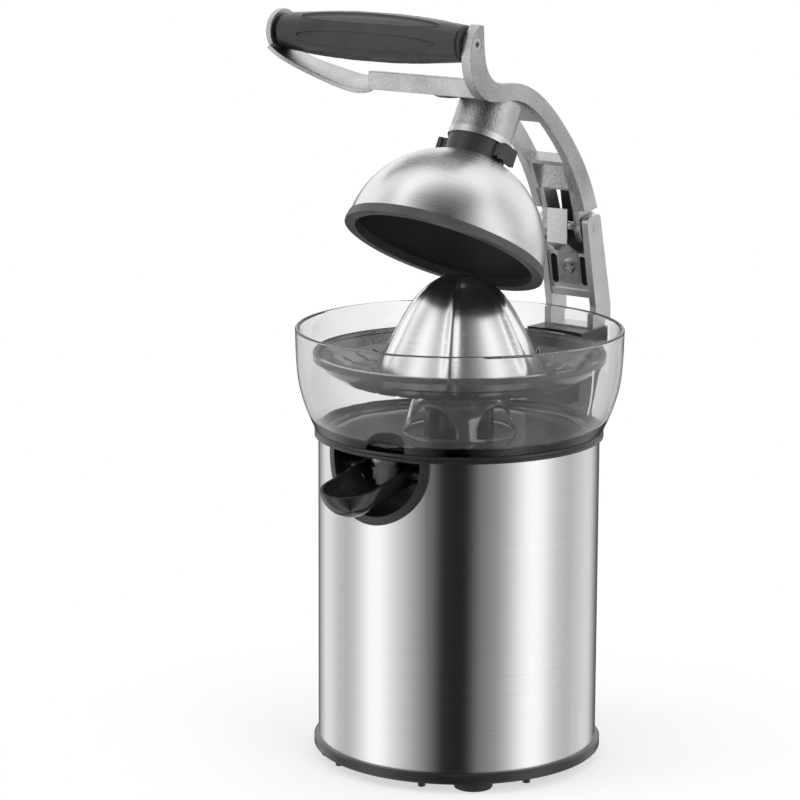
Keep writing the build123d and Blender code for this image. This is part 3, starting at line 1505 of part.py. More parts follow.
with BuildPart() as grip_rod:
    with BuildSketch(Plane.YZ.offset(end_plate_inner - rod_socket)):
        with Locations(grip_axis):
            Circle(rod_radius)
    extrude(amount=upright_inner + rod_socket - end_plate_inner + rod_socket)
    with BuildSketch(Plane.YZ.offset(upright_inner + rod_socket - screw_shank_length)):
        with Locations(grip_axis):
            Circle(screw_shank_radius + static_gap)
    extrude(amount=screw_shank_length + overrun, mode=Mode.SUBTRACT)
grip_rod.part.label = "grip_rod"
export_step(grip_rod.part, "parts/grip_rod.step")

with BuildPart() as grip_screw:
    with BuildSketch(Plane.YZ.offset(lever_half_width - screw_head_height)):
        with Locations(grip_axis):
            Circle(screw_head_radius)
    extrude(amount=screw_head_height - static_gap)
    with BuildSketch(Plane.YZ.offset(lever_half_width - screw_head_height)):
        with Locations(grip_axis):
            Circle(screw_shank_radius)
    extrude(amount=-screw_shank_length)
    with BuildSketch(Plane.YZ.offset(lever_half_width - screw_hex_depth)):
        with Locations(grip_axis):
            RegularPolygon(screw_hex_radius, 6)
    extrude(amount=screw_hex_depth, mode=Mode.SUBTRACT)
grip_screw.part.label = "grip_screw"
export_step(grip_screw.part, "parts/grip_screw.step")


def dome_arc(radius, low, hole):
    # The arc of a sphere about the rim's middle, from its edge up to the hole at its top.
    first = math.asin(low / radius)
    last = math.acos(hole / radius)
    middle = (first + last) / 2
    return [(radius * math.cos(a), radius * math.sin(a)) for a in (first, middle, last)]


# Light ring on the boss, and the black neck that carries the dome under it.
with BuildPart() as boss_ring:
    with BuildSketch(press_plane(neck_top)):
        Circle(ring_radius)
        Circle(spigot_radius + static_gap, mode=Mode.SUBTRACT)
    extrude(amount=ring_height)
boss_ring.part.label = "boss_ring"
export_step(boss_ring.part, "parts/boss_ring.step")

bolt_hole = dome_bolt_radius + static_gap
neck_foot = dome_arc(dome_radius, dome_edge, bolt_hole)[2]
neck_edge = (neck_radius, math.sqrt(dome_radius**2 - neck_radius**2))
neck_mid_radius = (neck_radius + bolt_hole) / 2
neck_mid = (neck_mid_radius, math.sqrt(dome_radius**2 - neck_mid_radius**2))
with BuildPart() as dome_neck:
    with BuildSketch(press_profile):
        with BuildLine():
            ThreePointArc(neck_foot, neck_mid, neck_edge)
            Polyline(
                neck_edge,
                (neck_radius, neck_top),
                (spigot_radius, neck_top),
                (spigot_radius, spigot_top),
                (bolt_hole, spigot_top),
                neck_foot,
            )
        make_face()
    revolve(axis=press_turn)
    for side in (1, -1):
        with BuildSketch(press_plane(tab_low - moving_gap)):
            with Locations((side * (tab_inner - tab_travel - moving_gap), 0)):
                Rectangle(
                    tab_outer,
                    tab_width + 2 * moving_gap,
                    align=(Align.MIN if side > 0 else Align.MAX, Align.CENTER),
                )
        extrude(amount=tab_high - tab_low + 2 * moving_gap, mode=Mode.SUBTRACT)
dome_neck.part.label = "dome_neck"
export_step(dome_neck.part, "parts/dome_neck.step")

# Squeeze tabs at both sides of the neck that let the dome go.
for side, name in ((1, "right"), (-1, "left")):
    towards = Align.MIN if side > 0 else Align.MAX
    with BuildPart() as release_tab:
        with BuildSketch(press_plane(tab_low)):
            with Locations((side * tab_inner, 0)):
                Rectangle(tab_outer - tab_inner, tab_width, align=(towards, Align.CENTER))
        extrude(amount=tab_high - tab_low)
        with BuildSketch(press_plane(tab_plate_low)):
            with Locations((side * (tab_outer - tab_plate), 0)):
                Rectangle(tab_plate, tab_plate_width, align=(towards, Align.CENTER))
        extrude(amount=tab_high - tab_plate_low)
    release_tab.part.label = "release_tab_" + name
    export_step(release_tab.part, "parts/release_tab_%s.step" % name)

# Steel dome, black liner inside it, rubber round its rim, and the bolt through its top.
with BuildPart() as press_dome:
    outside = dome_arc(dome_radius, dome_edge, bolt_hole)
    inside = dome_arc(dome_radius - dome_wall, dome_edge, bolt_hole)
    with BuildSketch(press_profile):
        with BuildLine():
            ThreePointArc(*outside)
            Line(outside[2], inside[2])
            ThreePointArc(*inside)
            Line(inside[0], outside[0])
        make_face()
    revolve(axis=press_turn)
press_dome.part.label = "press_dome"
export_step(press_dome.part, "parts/press_dome.step")

liner_radius = dome_radius - dome_wall - liner_gap
with BuildPart() as dome_liner:
    outside = dome_arc(liner_radius, seal_top + static_gap, bolt_hole)
    inside = dome_arc(liner_radius - liner_wall, seal_top + static_gap, bolt_hole)
    with BuildSketch(press_profile):
        with BuildLine():
            ThreePointArc(*outside)
            Line(outside[2], inside[2])
            ThreePointArc(*inside)
            Line(inside[0], outside[0])
        make_face()
    revolve(axis=press_turn)
dome_liner.part.label = "dome_liner"
export_step(dome_liner.part, "parts/dome_liner.step")

seal_slot_inner = math.sqrt((dome_radius - dome_wall) ** 2 - seal_top**2) - static_gap
with BuildPart() as dome_rim_seal:
    with BuildSketch(press_profile):
        with BuildLine():
            Polyline(
                (seal_inner, seal_bottom),
                (seal_outer, seal_bottom),
                (seal_outer, seal_step_rise),
                (seal_outer - seal_step, seal_step_rise),
                (seal_outer - seal_step, seal_top),
                (dome_radius + static_gap, seal_top),
                (dome_radius + static_gap, dome_edge - static_gap),
                (seal_slot_inner, dome_edge - static_gap),
                (seal_slot_inner, seal_top),
                (seal_inner, seal_top),
                close=True,
            )
        make_face()
    revolve(axis=press_turn)
dome_rim_seal.part.label = "dome_rim_seal"
export_step(dome_rim_seal.part, "parts/dome_rim_seal.step")

bolt_head_top = math.sqrt((liner_radius - liner_wall) ** 2 - dome_bolt_head_radius**2)
with BuildPart() as dome_bolt:
    with BuildSketch(press_plane(bolt_head_top - dome_bolt_head)):
        Circle(dome_bolt_head_radius)
    extrude(amount=dome_bolt_head)
    with BuildSketch(press_plane(bolt_head_top)):
        Circle(dome_bolt_radius)
    extrude(amount=dome_bolt_length)
dome_bolt.part.label = "dome_bolt"
export_step(dome_bolt.part, "parts/dome_bolt.step")
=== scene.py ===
import math

import bmesh
import bpy
from mathutils import Matrix, Vector


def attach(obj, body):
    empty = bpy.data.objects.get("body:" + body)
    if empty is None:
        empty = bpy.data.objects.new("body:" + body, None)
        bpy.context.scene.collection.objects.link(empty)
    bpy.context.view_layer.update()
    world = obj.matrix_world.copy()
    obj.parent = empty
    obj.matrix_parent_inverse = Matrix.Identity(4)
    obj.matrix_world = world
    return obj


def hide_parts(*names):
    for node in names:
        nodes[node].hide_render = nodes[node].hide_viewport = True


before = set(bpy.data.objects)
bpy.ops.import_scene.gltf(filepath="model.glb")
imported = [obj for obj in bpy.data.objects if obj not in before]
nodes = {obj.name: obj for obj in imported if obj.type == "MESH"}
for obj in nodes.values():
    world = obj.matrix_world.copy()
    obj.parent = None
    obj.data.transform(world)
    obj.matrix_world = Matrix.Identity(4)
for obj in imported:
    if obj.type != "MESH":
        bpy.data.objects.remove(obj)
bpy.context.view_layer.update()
print("frame loaded:", len(nodes), "nodes")

# where the photograph was taken from, in metres and degrees
viewpoint = {
    "place": (0.99130, -1.31550, 0.52551),
    "heading": 38.067,
    "dip": 11.551,
    "roll": 0.224,
    "lens": 145.94,
    "sensor": 36.0,
}


def aimCamera(view):
    heading = math.radians(view["heading"])
    dip = math.radians(view["dip"])
    forward = Vector((-math.sin(heading) * math.cos(dip), math.cos(heading) * math.cos(dip), -math.sin(dip)))
    right = forward.cross(Vector((0, 0, 1))).normalized()
    up = right.cross(forward)
    roll = math.radians(view["roll"])
    right, up = right * math.cos(roll) + up * math.sin(roll), up * math.cos(roll) - right * math.sin(roll)
    turn = Matrix((right, up, -forward)).transposed()
    data = bpy.data.cameras.new("viewCamera")
    data.lens = view["lens"]
    data.sensor_width = view["sensor"]
    data.sensor_height = view["sensor"]
    camera = bpy.data.objects.new("viewCamera", data)
    camera.matrix_world = Matrix.Translation(view["place"]) @ turn.to_4x4()
    bpy.context.scene.collection.objects.link(camera)
    bpy.context.scene.camera = camera


aimCamera(viewpoint)
bpy.context.scene.view_settings.view_transform = "Standard"
print("camera set")


# short ways to add nodes; a socket takes another node's output or a plain value
def feed(tree, socket, value):
    if isinstance(value, bpy.types.NodeSocket):
        tree.links.new(value, socket)
    else:
        socket.default_value = value


def addMath(tree, operation, *terms):
    node = tree.nodes.new("ShaderNodeMath")
    node.operation = operation
    for socket, term in zip(node.inputs, terms):
        feed(tree, socket, term)
    return node.outputs["Value"]


def addMix(tree, factor, first, second):
    node = tree.nodes.new("ShaderNodeMix")
    node.data_type = "RGBA"
    for label, value in (("Factor", factor), ("A", first), ("B", second)):
        feed(tree, node.inputs[label], value)
    return node.outputs["Result"]


def addRange(tree, value, ends, results=(0.0, 1.0), smooth=False):
    node = tree.nodes.new("ShaderNodeMapRange")
    if smooth:
        node.interpolation_type = "SMOOTHSTEP"
    feed(tree, node.inputs["Value"], value)
    for label, given in zip(("From Min", "From Max", "To Min", "To Max"), (*ends, *results)):
        feed(tree, node.inputs[label], given)
    return node.outputs["Result"]


def addStep(tree, value, ends):
    # a smooth step from 0 at the first end to 1 at the second
    results = (0.0, 1.0) if ends[0] < ends[1] else (1.0, 0.0)
    return addRange(tree, value, sorted(ends), results, smooth=True)


def addNoise(tree, vector, scale, detail, roughness):
    node = tree.nodes.new("ShaderNodeTexNoise")
    for label, value in zip(("Vector", "Scale", "Detail", "Roughness"), (vector, scale, detail, roughness)):
        feed(tree, node.inputs[label], value)
    return node.outputs["Fac"]


def addGlow(tree, colour, strength):
    node = tree.nodes.new("ShaderNodeBackground")
    feed(tree, node.inputs["Color"], colour)
    feed(tree, node.inputs["Strength"], strength)
    return node.outputs["Background"]


def mixShaders(tree, factor, first, second):
    node = tree.nodes.new("ShaderNodeMixShader")
    for socket, value in zip(node.inputs, (factor, first, second)):
        feed(tree, socket, value)
    return node.outputs["Shader"]


def grey(value):
    return (value, value, value, 1.0)


# the studio: bearings run from the camera's side, to the right positive, in degrees
studio = {
    "turn": 51.93,    # brings the camera's side on to +X
    "metalWalls": [
        (-180, 0.06), (-166, 0.08), (-155, 0.45), (-140, 0.95), (-130, 0.90), (-116, 0.64), (-104, 0.56),
        (-92, 0.78), (-78, 1.28), (-67, 1.28), (-56, 0.92), (-44, 0.62), (-32, 0.34), (-22, 0.15),
        (-14, 0.02), (5, 0.01), (10, 0.07), (16, 0.20), (30, 0.34), (40, 0.58), (52, 1.08), (62, 1.32),
        (71, 1.22), (86, 0.74), (100, 0.58), (112, 0.66), (126, 0.84), (138, 0.80), (148, 0.40),
        (158, 0.10), (180, 0.06),
    ],
    "glassWalls": [
        (-180, 1.00), (-158, 1.00), (-140, 0.40), (-112, 0.14), (-60, 0.14), (-30, 0.50), (0, 0.20),
        (30, 0.50), (60, 0.14), (112, 0.14), (140, 0.40), (158, 1.00), (180, 1.00),
    ],
    "ceiling": (0.14, 1.70),    # over the camera's side, and over the far side
    "ceilingReach": (-0.26, 0.12),    # how far a direction points away from the camera
    "ceilingRise": (0.62, 0.90),    # how far it points up
    "backdrop": 1.15,
    "backdropReach": (0.10, 0.45),
    "backdropRise": (-0.02, 0.10),
    "insideGlass": 0.12,    # for rays through glass that were mirrored on their way
    "ambient": 0.62,
    "lamps": [    # name, place, size and power
        ("keyLamp", (-0.9, -1.1, 1.3), 0.9, 11.0),
        ("fillLamp", (1.3, -0.3, 0.9), 0.8, 7.0),
        ("topLamp", (0.1, 0.1, 1.5), 0.7, 5.0),
    ],
    "lampAim": (0.0, 0.0, 0.18),
    "floorRadius": 3.0,
    "floorColour": (0.90, 0.90, 0.905, 1.0),
    "floorShade": 0.62,    # share of plain white near the feet
    "floorFade": (0.09, 0.24),    # from here to here the floor goes all white, from the body's axis
}


def wallRamp(tree, stops, share):
    # brightness by bearing, given as a share of the brightest stop; a new ramp already has two elements
    ramp = tree.nodes.new("ShaderNodeValToRGB")
    elements = ramp.color_ramp.elements
    top = max(value for bearing, value in stops)
    for index, (bearing, value) in enumerate(stops):
        place = (bearing + 180.0) / 360.0
        element = elements[index] if index < 2 else elements.new(place)
        element.position = place
        element.color = grey(value / top)
    tree.links.new(share, ramp.inputs["Fac"])
    return ramp.outputs["Color"], top


def buildWorld(setup):
    world = bpy.data.worlds.new("studioWorld")
    bpy.context.scene.world = world
    world.use_nodes = True
    tree = world.node_tree
    tree.nodes.clear()
    coordinate = tree.nodes.new("ShaderNodeTexCoord")
    turn = tree.nodes.new("ShaderNodeMapping")
    turn.inputs["Rotation"].default_value[2] = math.radians(setup["turn"])
    tree.links.new(coordinate.outputs["Generated"], turn.inputs["Vector"])
    split = tree.nodes.new("ShaderNodeSeparateXYZ")
    tree.links.new(turn.outputs["Vector"], split.inputs["Vector"])
    toCamera, toRight, upward = (split.outputs[axis] for axis in "XYZ")
    share = addRange(tree, addMath(tree, "ARCTAN2", toRight, toCamera), (-math.pi, math.pi))
    metal, metalTop = wallRamp(tree, setup["metalWalls"], share)
    glass, glassTop = wallRamp(tree, setup["glassWalls"], share)

    # walls, then the ceiling over them, then the bright backdrop behind the object
    near, far = (grey(level / metalTop) for level in setup["ceiling"])
    ceiling = addMix(tree, addStep(tree, toCamera, [-reach for reach in setup["ceilingReach"]]), near, far)
    room = addMix(tree, addStep(tree, upward, setup["ceilingRise"]), metal, ceiling)
    away = addStep(tree, toCamera, [-reach for reach in setup["backdropReach"]])
    above = addStep(tree, upward, setup["backdropRise"])
    behind = addMath(tree, "MULTIPLY", away, above)
    room = addMix(tree, behind, room, grey(setup["backdrop"] / metalTop))

    # each kind of ray meets its own surroundings
    light = tree.nodes.new("ShaderNodeLightPath")
    white = grey(1.0)
    mirrored = addMath(tree, "GREATER_THAN", light.outputs["Glossy Depth"], 0.0)
    within = addGlow(tree, white, setup["insideGlass"])
    inGlass = mixShaders(tree, mirrored, addGlow(tree, glass, glassTop), within)
    plain = addGlow(tree, white, setup["ambient"])
    shown = mixShaders(tree, light.outputs["Is Glossy Ray"], plain, addGlow(tree, room, metalTop))
    shown = mixShaders(tree, light.outputs["Is Transmission Ray"], shown, inGlass)
    shown = mixShaders(tree, light.outputs["Is Camera Ray"], shown, addGlow(tree, white, 1.0))
    output = tree.nodes.new("ShaderNodeOutputWorld")
    tree.links.new(shown, output.inputs["Surface"])


def hangLamps(setup):
    for name, place, size, power in setup["lamps"]:
        data = bpy.data.lights.new(name, "AREA")
        data.energy = power
        data.size = size
        lamp = bpy.data.objects.new(name, data)
        aim = (Vector(setup["lampAim"]) - Vector(place)).normalized()
        lamp.matrix_world = Matrix.Translation(place) @ aim.to_track_quat("-Z", "Y").to_matrix().to_4x4()
        lamp.visible_glossy = False
        bpy.context.scene.collection.objects.link(lamp)


def floorFinish(setup):
    # white to the camera and through glass, with soft shadows left near the feet
    material = bpy.data.materials.new("paleFloor")
    material.use_nodes = True
    tree = material.node_tree
    tree.nodes.clear()
    diffuse = tree.nodes.new("ShaderNodeBsdfDiffuse")
    diffuse.inputs["Color"].default_value = setup["floorColour"]
    glow = tree.nodes.new("ShaderNodeEmission")
    glow.inputs["Color"].default_value = grey(1.0)
    light = tree.nodes.new("ShaderNodeLightPath")
    seen = addMath(tree, "MAXIMUM", light.outputs["Is Camera Ray"], light.outputs["Is Transmission Ray"])
    coordinate = tree.nodes.new("ShaderNodeTexCoord")
    apart = tree.nodes.new("ShaderNodeVectorMath")
    apart.operation = "LENGTH"
    tree.links.new(coordinate.outputs["Object"], apart.inputs[0])
    fade = addRange(tree, apart.outputs["Value"], setup["floorFade"], (setup["floorShade"], 1.0), smooth=True)
    amount = addMath(tree, "MULTIPLY", seen, fade)
    output = tree.nodes.new("ShaderNodeOutputMaterial")
    tree.links.new(
        mixShaders(tree, amount, diffuse.outputs["BSDF"], glow.outputs["Emission"]), output.inputs["Surface"]
    )
    return material


def layFloor(setup):
    reach = setup["floorRadius"]
    corners = [(-reach, -reach, 0), (reach, -reach, 0), (reach, reach, 0), (-reach, reach, 0)]
    mesh = bpy.data.meshes.new("floor")
    mesh.from_pydata(corners, [], [(0, 1, 2, 3)])
    mesh.materials.append(floorFinish(setup))
    floor = bpy.data.objects.new("floor", mesh)
    bpy.context.scene.collection.objects.link(floor)
    floor.visible_glossy = False


buildWorld(studio)
hangLamps(studio)
layFloor(studio)
print("studio built")


# shared effects: each gives a colour, a roughness and a height
def newGroup(name, *scales):
    tree = bpy.data.node_groups.new(name, "ShaderNodeTree")
    add = tree.interface.new_socket
    add("Vector", in_out="INPUT", socket_type="NodeSocketVector")
    for label in ("Tone A", "Tone B"):
        add(label, in_out="INPUT", socket_type="NodeSocketColor")
    for label in (*scales, "Rough Low", "Rough High"):
        add(label, in_out="INPUT", socket_type="NodeSocketFloat")
    add("Color", in_out="OUTPUT", socket_type="NodeSocketColor")
    for label in ("Roughness", "Height"):
        add(label, in_out="OUTPUT", socket_type="NodeSocketFloat")
    return tree, tree.nodes.new("NodeGroupInput").outputs


def closeGroup(tree, given, toneShare, roughShare, height):
    result = tree.nodes.new("NodeGroupOutput").inputs
    tone = addMix(tree, toneShare, given["Tone A"], given["Tone B"])
    rough = addRange(tree, roughShare, (0.0, 1.0), (given["Rough Low"], given["Rough High"]))
    for label, value in (("Color", tone), ("Roughness", rough), ("Height", height)):
        tree.links.new(value, result[label])
    return tree


castSkin = {
    "grainDetail": 3.0,
    "grainRoughness": 0.7,
    "pitScaleShare": 0.62,
    "slowScale": 38.0,
    "slowDetail": 2.0,
    "slowRoughness": 0.5,
    "toneShares": (0.55, 0.45),    # of the grain, and of the slow change
    "toneSpan": (0.32, 0.68),
    "grainLift": 0.6,
}


def castGrainGroup(plan):
    # sand-cast skin: pits, fine grain, and a slow change of tone
    tree, given = newGroup("castGrain", "Grain Scale")
    vector, scale = given["Vector"], given["Grain Scale"]
    fine = addNoise(tree, vector, scale, plan["grainDetail"], plan["grainRoughness"])
    slow = addNoise(tree, vector, plan["slowScale"], plan["slowDetail"], plan["slowRoughness"])
    voronoi = tree.nodes.new("ShaderNodeTexVoronoi")
    feed(tree, voronoi.inputs["Vector"], vector)
    feed(tree, voronoi.inputs["Scale"], addMath(tree, "MULTIPLY", scale, plan["pitScaleShare"]))
    pits = voronoi.outputs["Distance"]
    fineShare, slowShare = plan["toneShares"]
    blend = addMath(tree, "MULTIPLY_ADD", fine, fineShare, addMath(tree, "MULTIPLY", slow, slowShare))
    height = addMath(tree, "MULTIPLY_ADD", fine, plan["grainLift"], pits)
    return closeGroup(tree, given, addRange(tree, blend, plan["toneSpan"]), pits, height)


brushing = {"scale": 1.0, "detail": 4.0, "roughness": 0.65, "toneSpan": (0.3, 0.7)}


def brushLinesGroup(plan):
    # fine brushing: the vector is already stretched so that lines run one way
    tree, given = newGroup("brushLines")
    streak = addNoise(tree, given["Vector"], plan["scale"], plan["detail"], plan["roughness"])
    spread = addRange(tree, streak, plan["toneSpan"])
    return closeGroup(tree, given, spread, spread, streak)


moulding = {
    "grainDetail": 2.0,
    "cloudScale": 55.0,
    "cloudDetail": 3.0,
    "roughness": 0.5,
    "toneSpan": (0.3, 0.7),
}


def mouldGrainGroup(plan):
    # moulded plastic and rubber: faint cloudiness and fine grain
    tree, given = newGroup("mouldGrain", "Grain Scale")
    cloud = addNoise(tree, given["Vector"], plan["cloudScale"], plan["cloudDetail"], plan["roughness"])
    grain = addNoise(tree, given["Vector"], given["Grain Scale"], plan["grainDetail"], plan["roughness"])
    return closeGroup(tree, given, addRange(tree, cloud, plan["toneSpan"]), grain, grain)


castGrain = castGrainGroup(castSkin)
brushLines = brushLinesGroup(brushing)
mouldGrain = mouldGrainGroup(moulding)

# the dome's own axis leans back at rest, in degrees, about its centre in metres
domeLean = 29.0
domeCentre = (0.0, -0.01376, 0.2698)

# each finish: which effect it uses, how it is laid, and its plain shader values;
# a bump is a strength and a height, and the edge shade a blend and the tone of the painted shade on a wall
# seen edge-on
finishes = {
    "brushedSleeve": {
        "effect": brushLines, "stretch": (4.0, 4.0, 2600.0), "across": (0.0, 0.0, 1.0),
        "values": {"Tone A": grey(0.73), "Tone B": grey(0.79), "Rough Low": 0.18, "Rough High": 0.24},
        "bump": (0.05, 0.00005), "shader": {"Metallic": 1.0, "Anisotropic": 0.7},
    },
    "brushedDome": {
        "effect": brushLines, "stretch": (7.0, 7.0, 1900.0), "lean": domeLean, "centre": domeCentre,
        "across": (0.0, math.sin(math.radians(domeLean)), math.cos(math.radians(domeLean))),
        "values": {"Tone A": grey(0.66), "Tone B": grey(0.77), "Rough Low": 0.24, "Rough High": 0.33},
        "bump": (0.16, 0.00008), "shader": {"Metallic": 1.0, "Anisotropic": 0.8},
    },
    "polishedCone": {
        "effect": brushLines, "stretch": (9.0, 9.0, 900.0),
        "values": {"Tone A": grey(0.78), "Tone B": grey(0.84), "Rough Low": 0.20, "Rough High": 0.27},
        "bump": (0.05, 0.00005), "shader": {"Metallic": 1.0},
    },
    "castLever": {
        "effect": castGrain,
        "values": {"Grain Scale": 1300.0, "Tone A": grey(0.34), "Tone B": grey(0.70), "Rough Low": 0.30,
                   "Rough High": 0.46},
        "bump": (0.55, 0.00022), "soften": 0.0008, "shader": {"Metallic": 1.0},
    },
    "satinRing": {
        "effect": brushLines, "stretch": (12.0, 12.0, 700.0), "lean": domeLean, "centre": domeCentre,
        "values": {"Tone A": grey(0.74), "Tone B": grey(0.80), "Rough Low": 0.34, "Rough High": 0.44},
        "bump": (0.06, 0.00005), "shader": {"Metallic": 1.0},
    },
    "springSteel": {
        "effect": castGrain,
        "values": {"Grain Scale": 2600.0, "Tone A": grey(0.50), "Tone B": grey(0.58), "Rough Low": 0.24,
                   "Rough High": 0.34},
        "bump": (0.08, 0.00006), "shader": {"Metallic": 1.0},
    },
    "castColumn": {
        "effect": castGrain,
        "values": {"Grain Scale": 1500.0, "Tone A": grey(0.54), "Tone B": grey(0.76), "Rough Low": 0.28,
                   "Rough High": 0.46},
        "bump": (0.30, 0.00016), "soften": 0.0006, "shader": {"Metallic": 1.0},
    },
    "plainSteel": {
        "effect": brushLines, "stretch": (900.0, 30.0, 30.0),
        "values": {"Tone A": grey(0.60), "Tone B": grey(0.72), "Rough Low": 0.18, "Rough High": 0.30},
        "bump": (0.10, 0.00005), "shader": {"Metallic": 1.0},
    },
    "glossBlack": {
        "effect": mouldGrain,
        "values": {"Grain Scale": 2200.0, "Tone A": grey(0.010), "Tone B": grey(0.018), "Rough Low": 0.22,
                   "Rough High": 0.32},
        "bump": (0.05, 0.00004), "soften": 0.0009, "shader": {"Coat Weight": 0.1, "Coat Roughness": 0.15},
    },
    "satinBlack": {
        "effect": mouldGrain,
        "values": {"Grain Scale": 2200.0, "Tone A": grey(0.022), "Tone B": grey(0.040), "Rough Low": 0.30,
                   "Rough High": 0.44},
        "bump": (0.16, 0.00006), "shader": {},
    },
    "gripBlack": {
        "effect": mouldGrain,
        "values": {"Grain Scale": 2600.0, "Tone A": grey(0.014), "Tone B": grey(0.026), "Rough Low": 0.24,
                   "Rough High": 0.34},
        "bump": (0.16, 0.00006), "shader": {},
    },
    "mattBlack": {
        "effect": mouldGrain,
        "values": {"Grain Scale": 2200.0, "Tone A": grey(0.020), "Tone B": grey(0.034), "Rough Low": 0.48,
                   "Rough High": 0.64},
        "bump": (0.22, 0.00006), "shader": {},
    },
    "softRubber": {
        "effect": mouldGrain,
        "values": {"Grain Scale": 1800.0, "Tone A": grey(0.018), "Tone B": grey(0.032), "Rough Low": 0.55,
                   "Rough High": 0.75},
        "bump": (0.30, 0.00008), "shader": {},
    },
    "sealRubber": {
        "effect": mouldGrain,
        "values": {"Grain Scale": 1800.0, "Tone A": grey(0.050), "Tone B": grey(0.075), "Rough Low": 0.38,
                   "Rough High": 0.55},
        "bump": (0.20, 0.00006), "shader": {},
    },
    "gearNylon": {
        "effect": mouldGrain,
        "values": {"Grain Scale": 2200.0, "Tone A": (0.70, 0.67, 0.58, 1), "Tone B": (0.80, 0.77, 0.68, 1),
                   "Rough Low": 0.35, "Rough High": 0.5},
        "bump": (0.10, 0.00005), "shader": {},
    },
    "bushBronze": {
        "effect": castGrain,
        "values": {"Grain Scale": 2400.0, "Tone A": (0.44, 0.28, 0.12, 1), "Tone B": (0.60, 0.42, 0.20, 1),
                   "Rough Low": 0.35, "Rough High": 0.5},
        "bump": (0.20, 0.00008), "shader": {"Metallic": 1.0},
    },
    "motorPlate": {
        "effect": brushLines, "stretch": (20.0, 20.0, 900.0),
        "values": {"Tone A": grey(0.48), "Tone B": grey(0.58), "Rough Low": 0.30, "Rough High": 0.42},
        "bump": (0.10, 0.00005), "shader": {"Metallic": 1.0},
    },
    "sheetStack": {
        "effect": brushLines, "stretch": (10.0, 10.0, 2400.0),
        "values": {"Tone A": grey(0.16), "Tone B": grey(0.30), "Rough Low": 0.40, "Rough High": 0.58},
        "bump": (0.50, 0.00012), "shader": {"Metallic": 1.0},
    },
    # the bowl's walls seen edge-on take a painted shade, darker than the clear glass
    "clearBowl": {
        "effect": mouldGrain,
        "values": {"Grain Scale": 160.0, "Tone A": grey(0.95), "Tone B": grey(0.97), "Rough Low": 0.015,
                   "Rough High": 0.03},
        "bump": (0.02, 0.00004), "paintedEdgeShade": (0.16, 0.05), "shader": {"Transmission Weight": 1.0, "IOR": 1.46},
    },
    "clearSkirt": {
        "effect": mouldGrain,
        "values": {"Grain Scale": 160.0, "Tone A": grey(0.84), "Tone B": grey(0.88), "Rough Low": 0.02,
                   "Rough High": 0.04},
        "bump": (0.02, 0.00004), "soften": 0.0009, "shader": {"Transmission Weight": 0.92, "IOR": 1.46},
    },
    # painted light: a pale, half-clear finish that stands in for the light and highlights of the clear nozzle
    "clearNozzleSheen": {
        "effect": mouldGrain,
        "values": {"Grain Scale": 160.0, "Tone A": grey(0.78), "Tone B": grey(0.86), "Rough Low": 0.06,
                   "Rough High": 0.12},
        "bump": (0.03, 0.00004), "soften": 0.0005, "shader": {"Transmission Weight": 0.4, "IOR": 1.46},
    },
    # painted highlight: lighter than the strainer, for the glints along its slot edges
    "clearLipGlint": {
        "effect": mouldGrain,
        "values": {"Grain Scale": 160.0, "Tone A": grey(0.50), "Tone B": grey(0.58), "Rough Low": 0.08,
                   "Rough High": 0.14},
        "bump": (0.03, 0.00004), "shader": {"Transmission Weight": 0.5, "IOR": 1.46},
    },
    "smokyStrainer": {
        "effect": mouldGrain,
        "values": {"Grain Scale": 160.0, "Tone A": grey(0.17), "Tone B": grey(0.22), "Rough Low": 0.05,
                   "Rough High": 0.10},
        "bump": (0.03, 0.00004), "shader": {"Transmission Weight": 0.85, "IOR": 1.46},
    },
    "smokySpout": {
        "effect": mouldGrain,
        "values": {"Grain Scale": 160.0, "Tone A": grey(0.016), "Tone B": grey(0.024), "Rough Low": 0.05,
                   "Rough High": 0.09},
        "bump": (0.03, 0.00004), "soften": 0.0008, "shader": {"Transmission Weight": 0.3, "IOR": 1.50},
    },
}

edgeSamples = 4


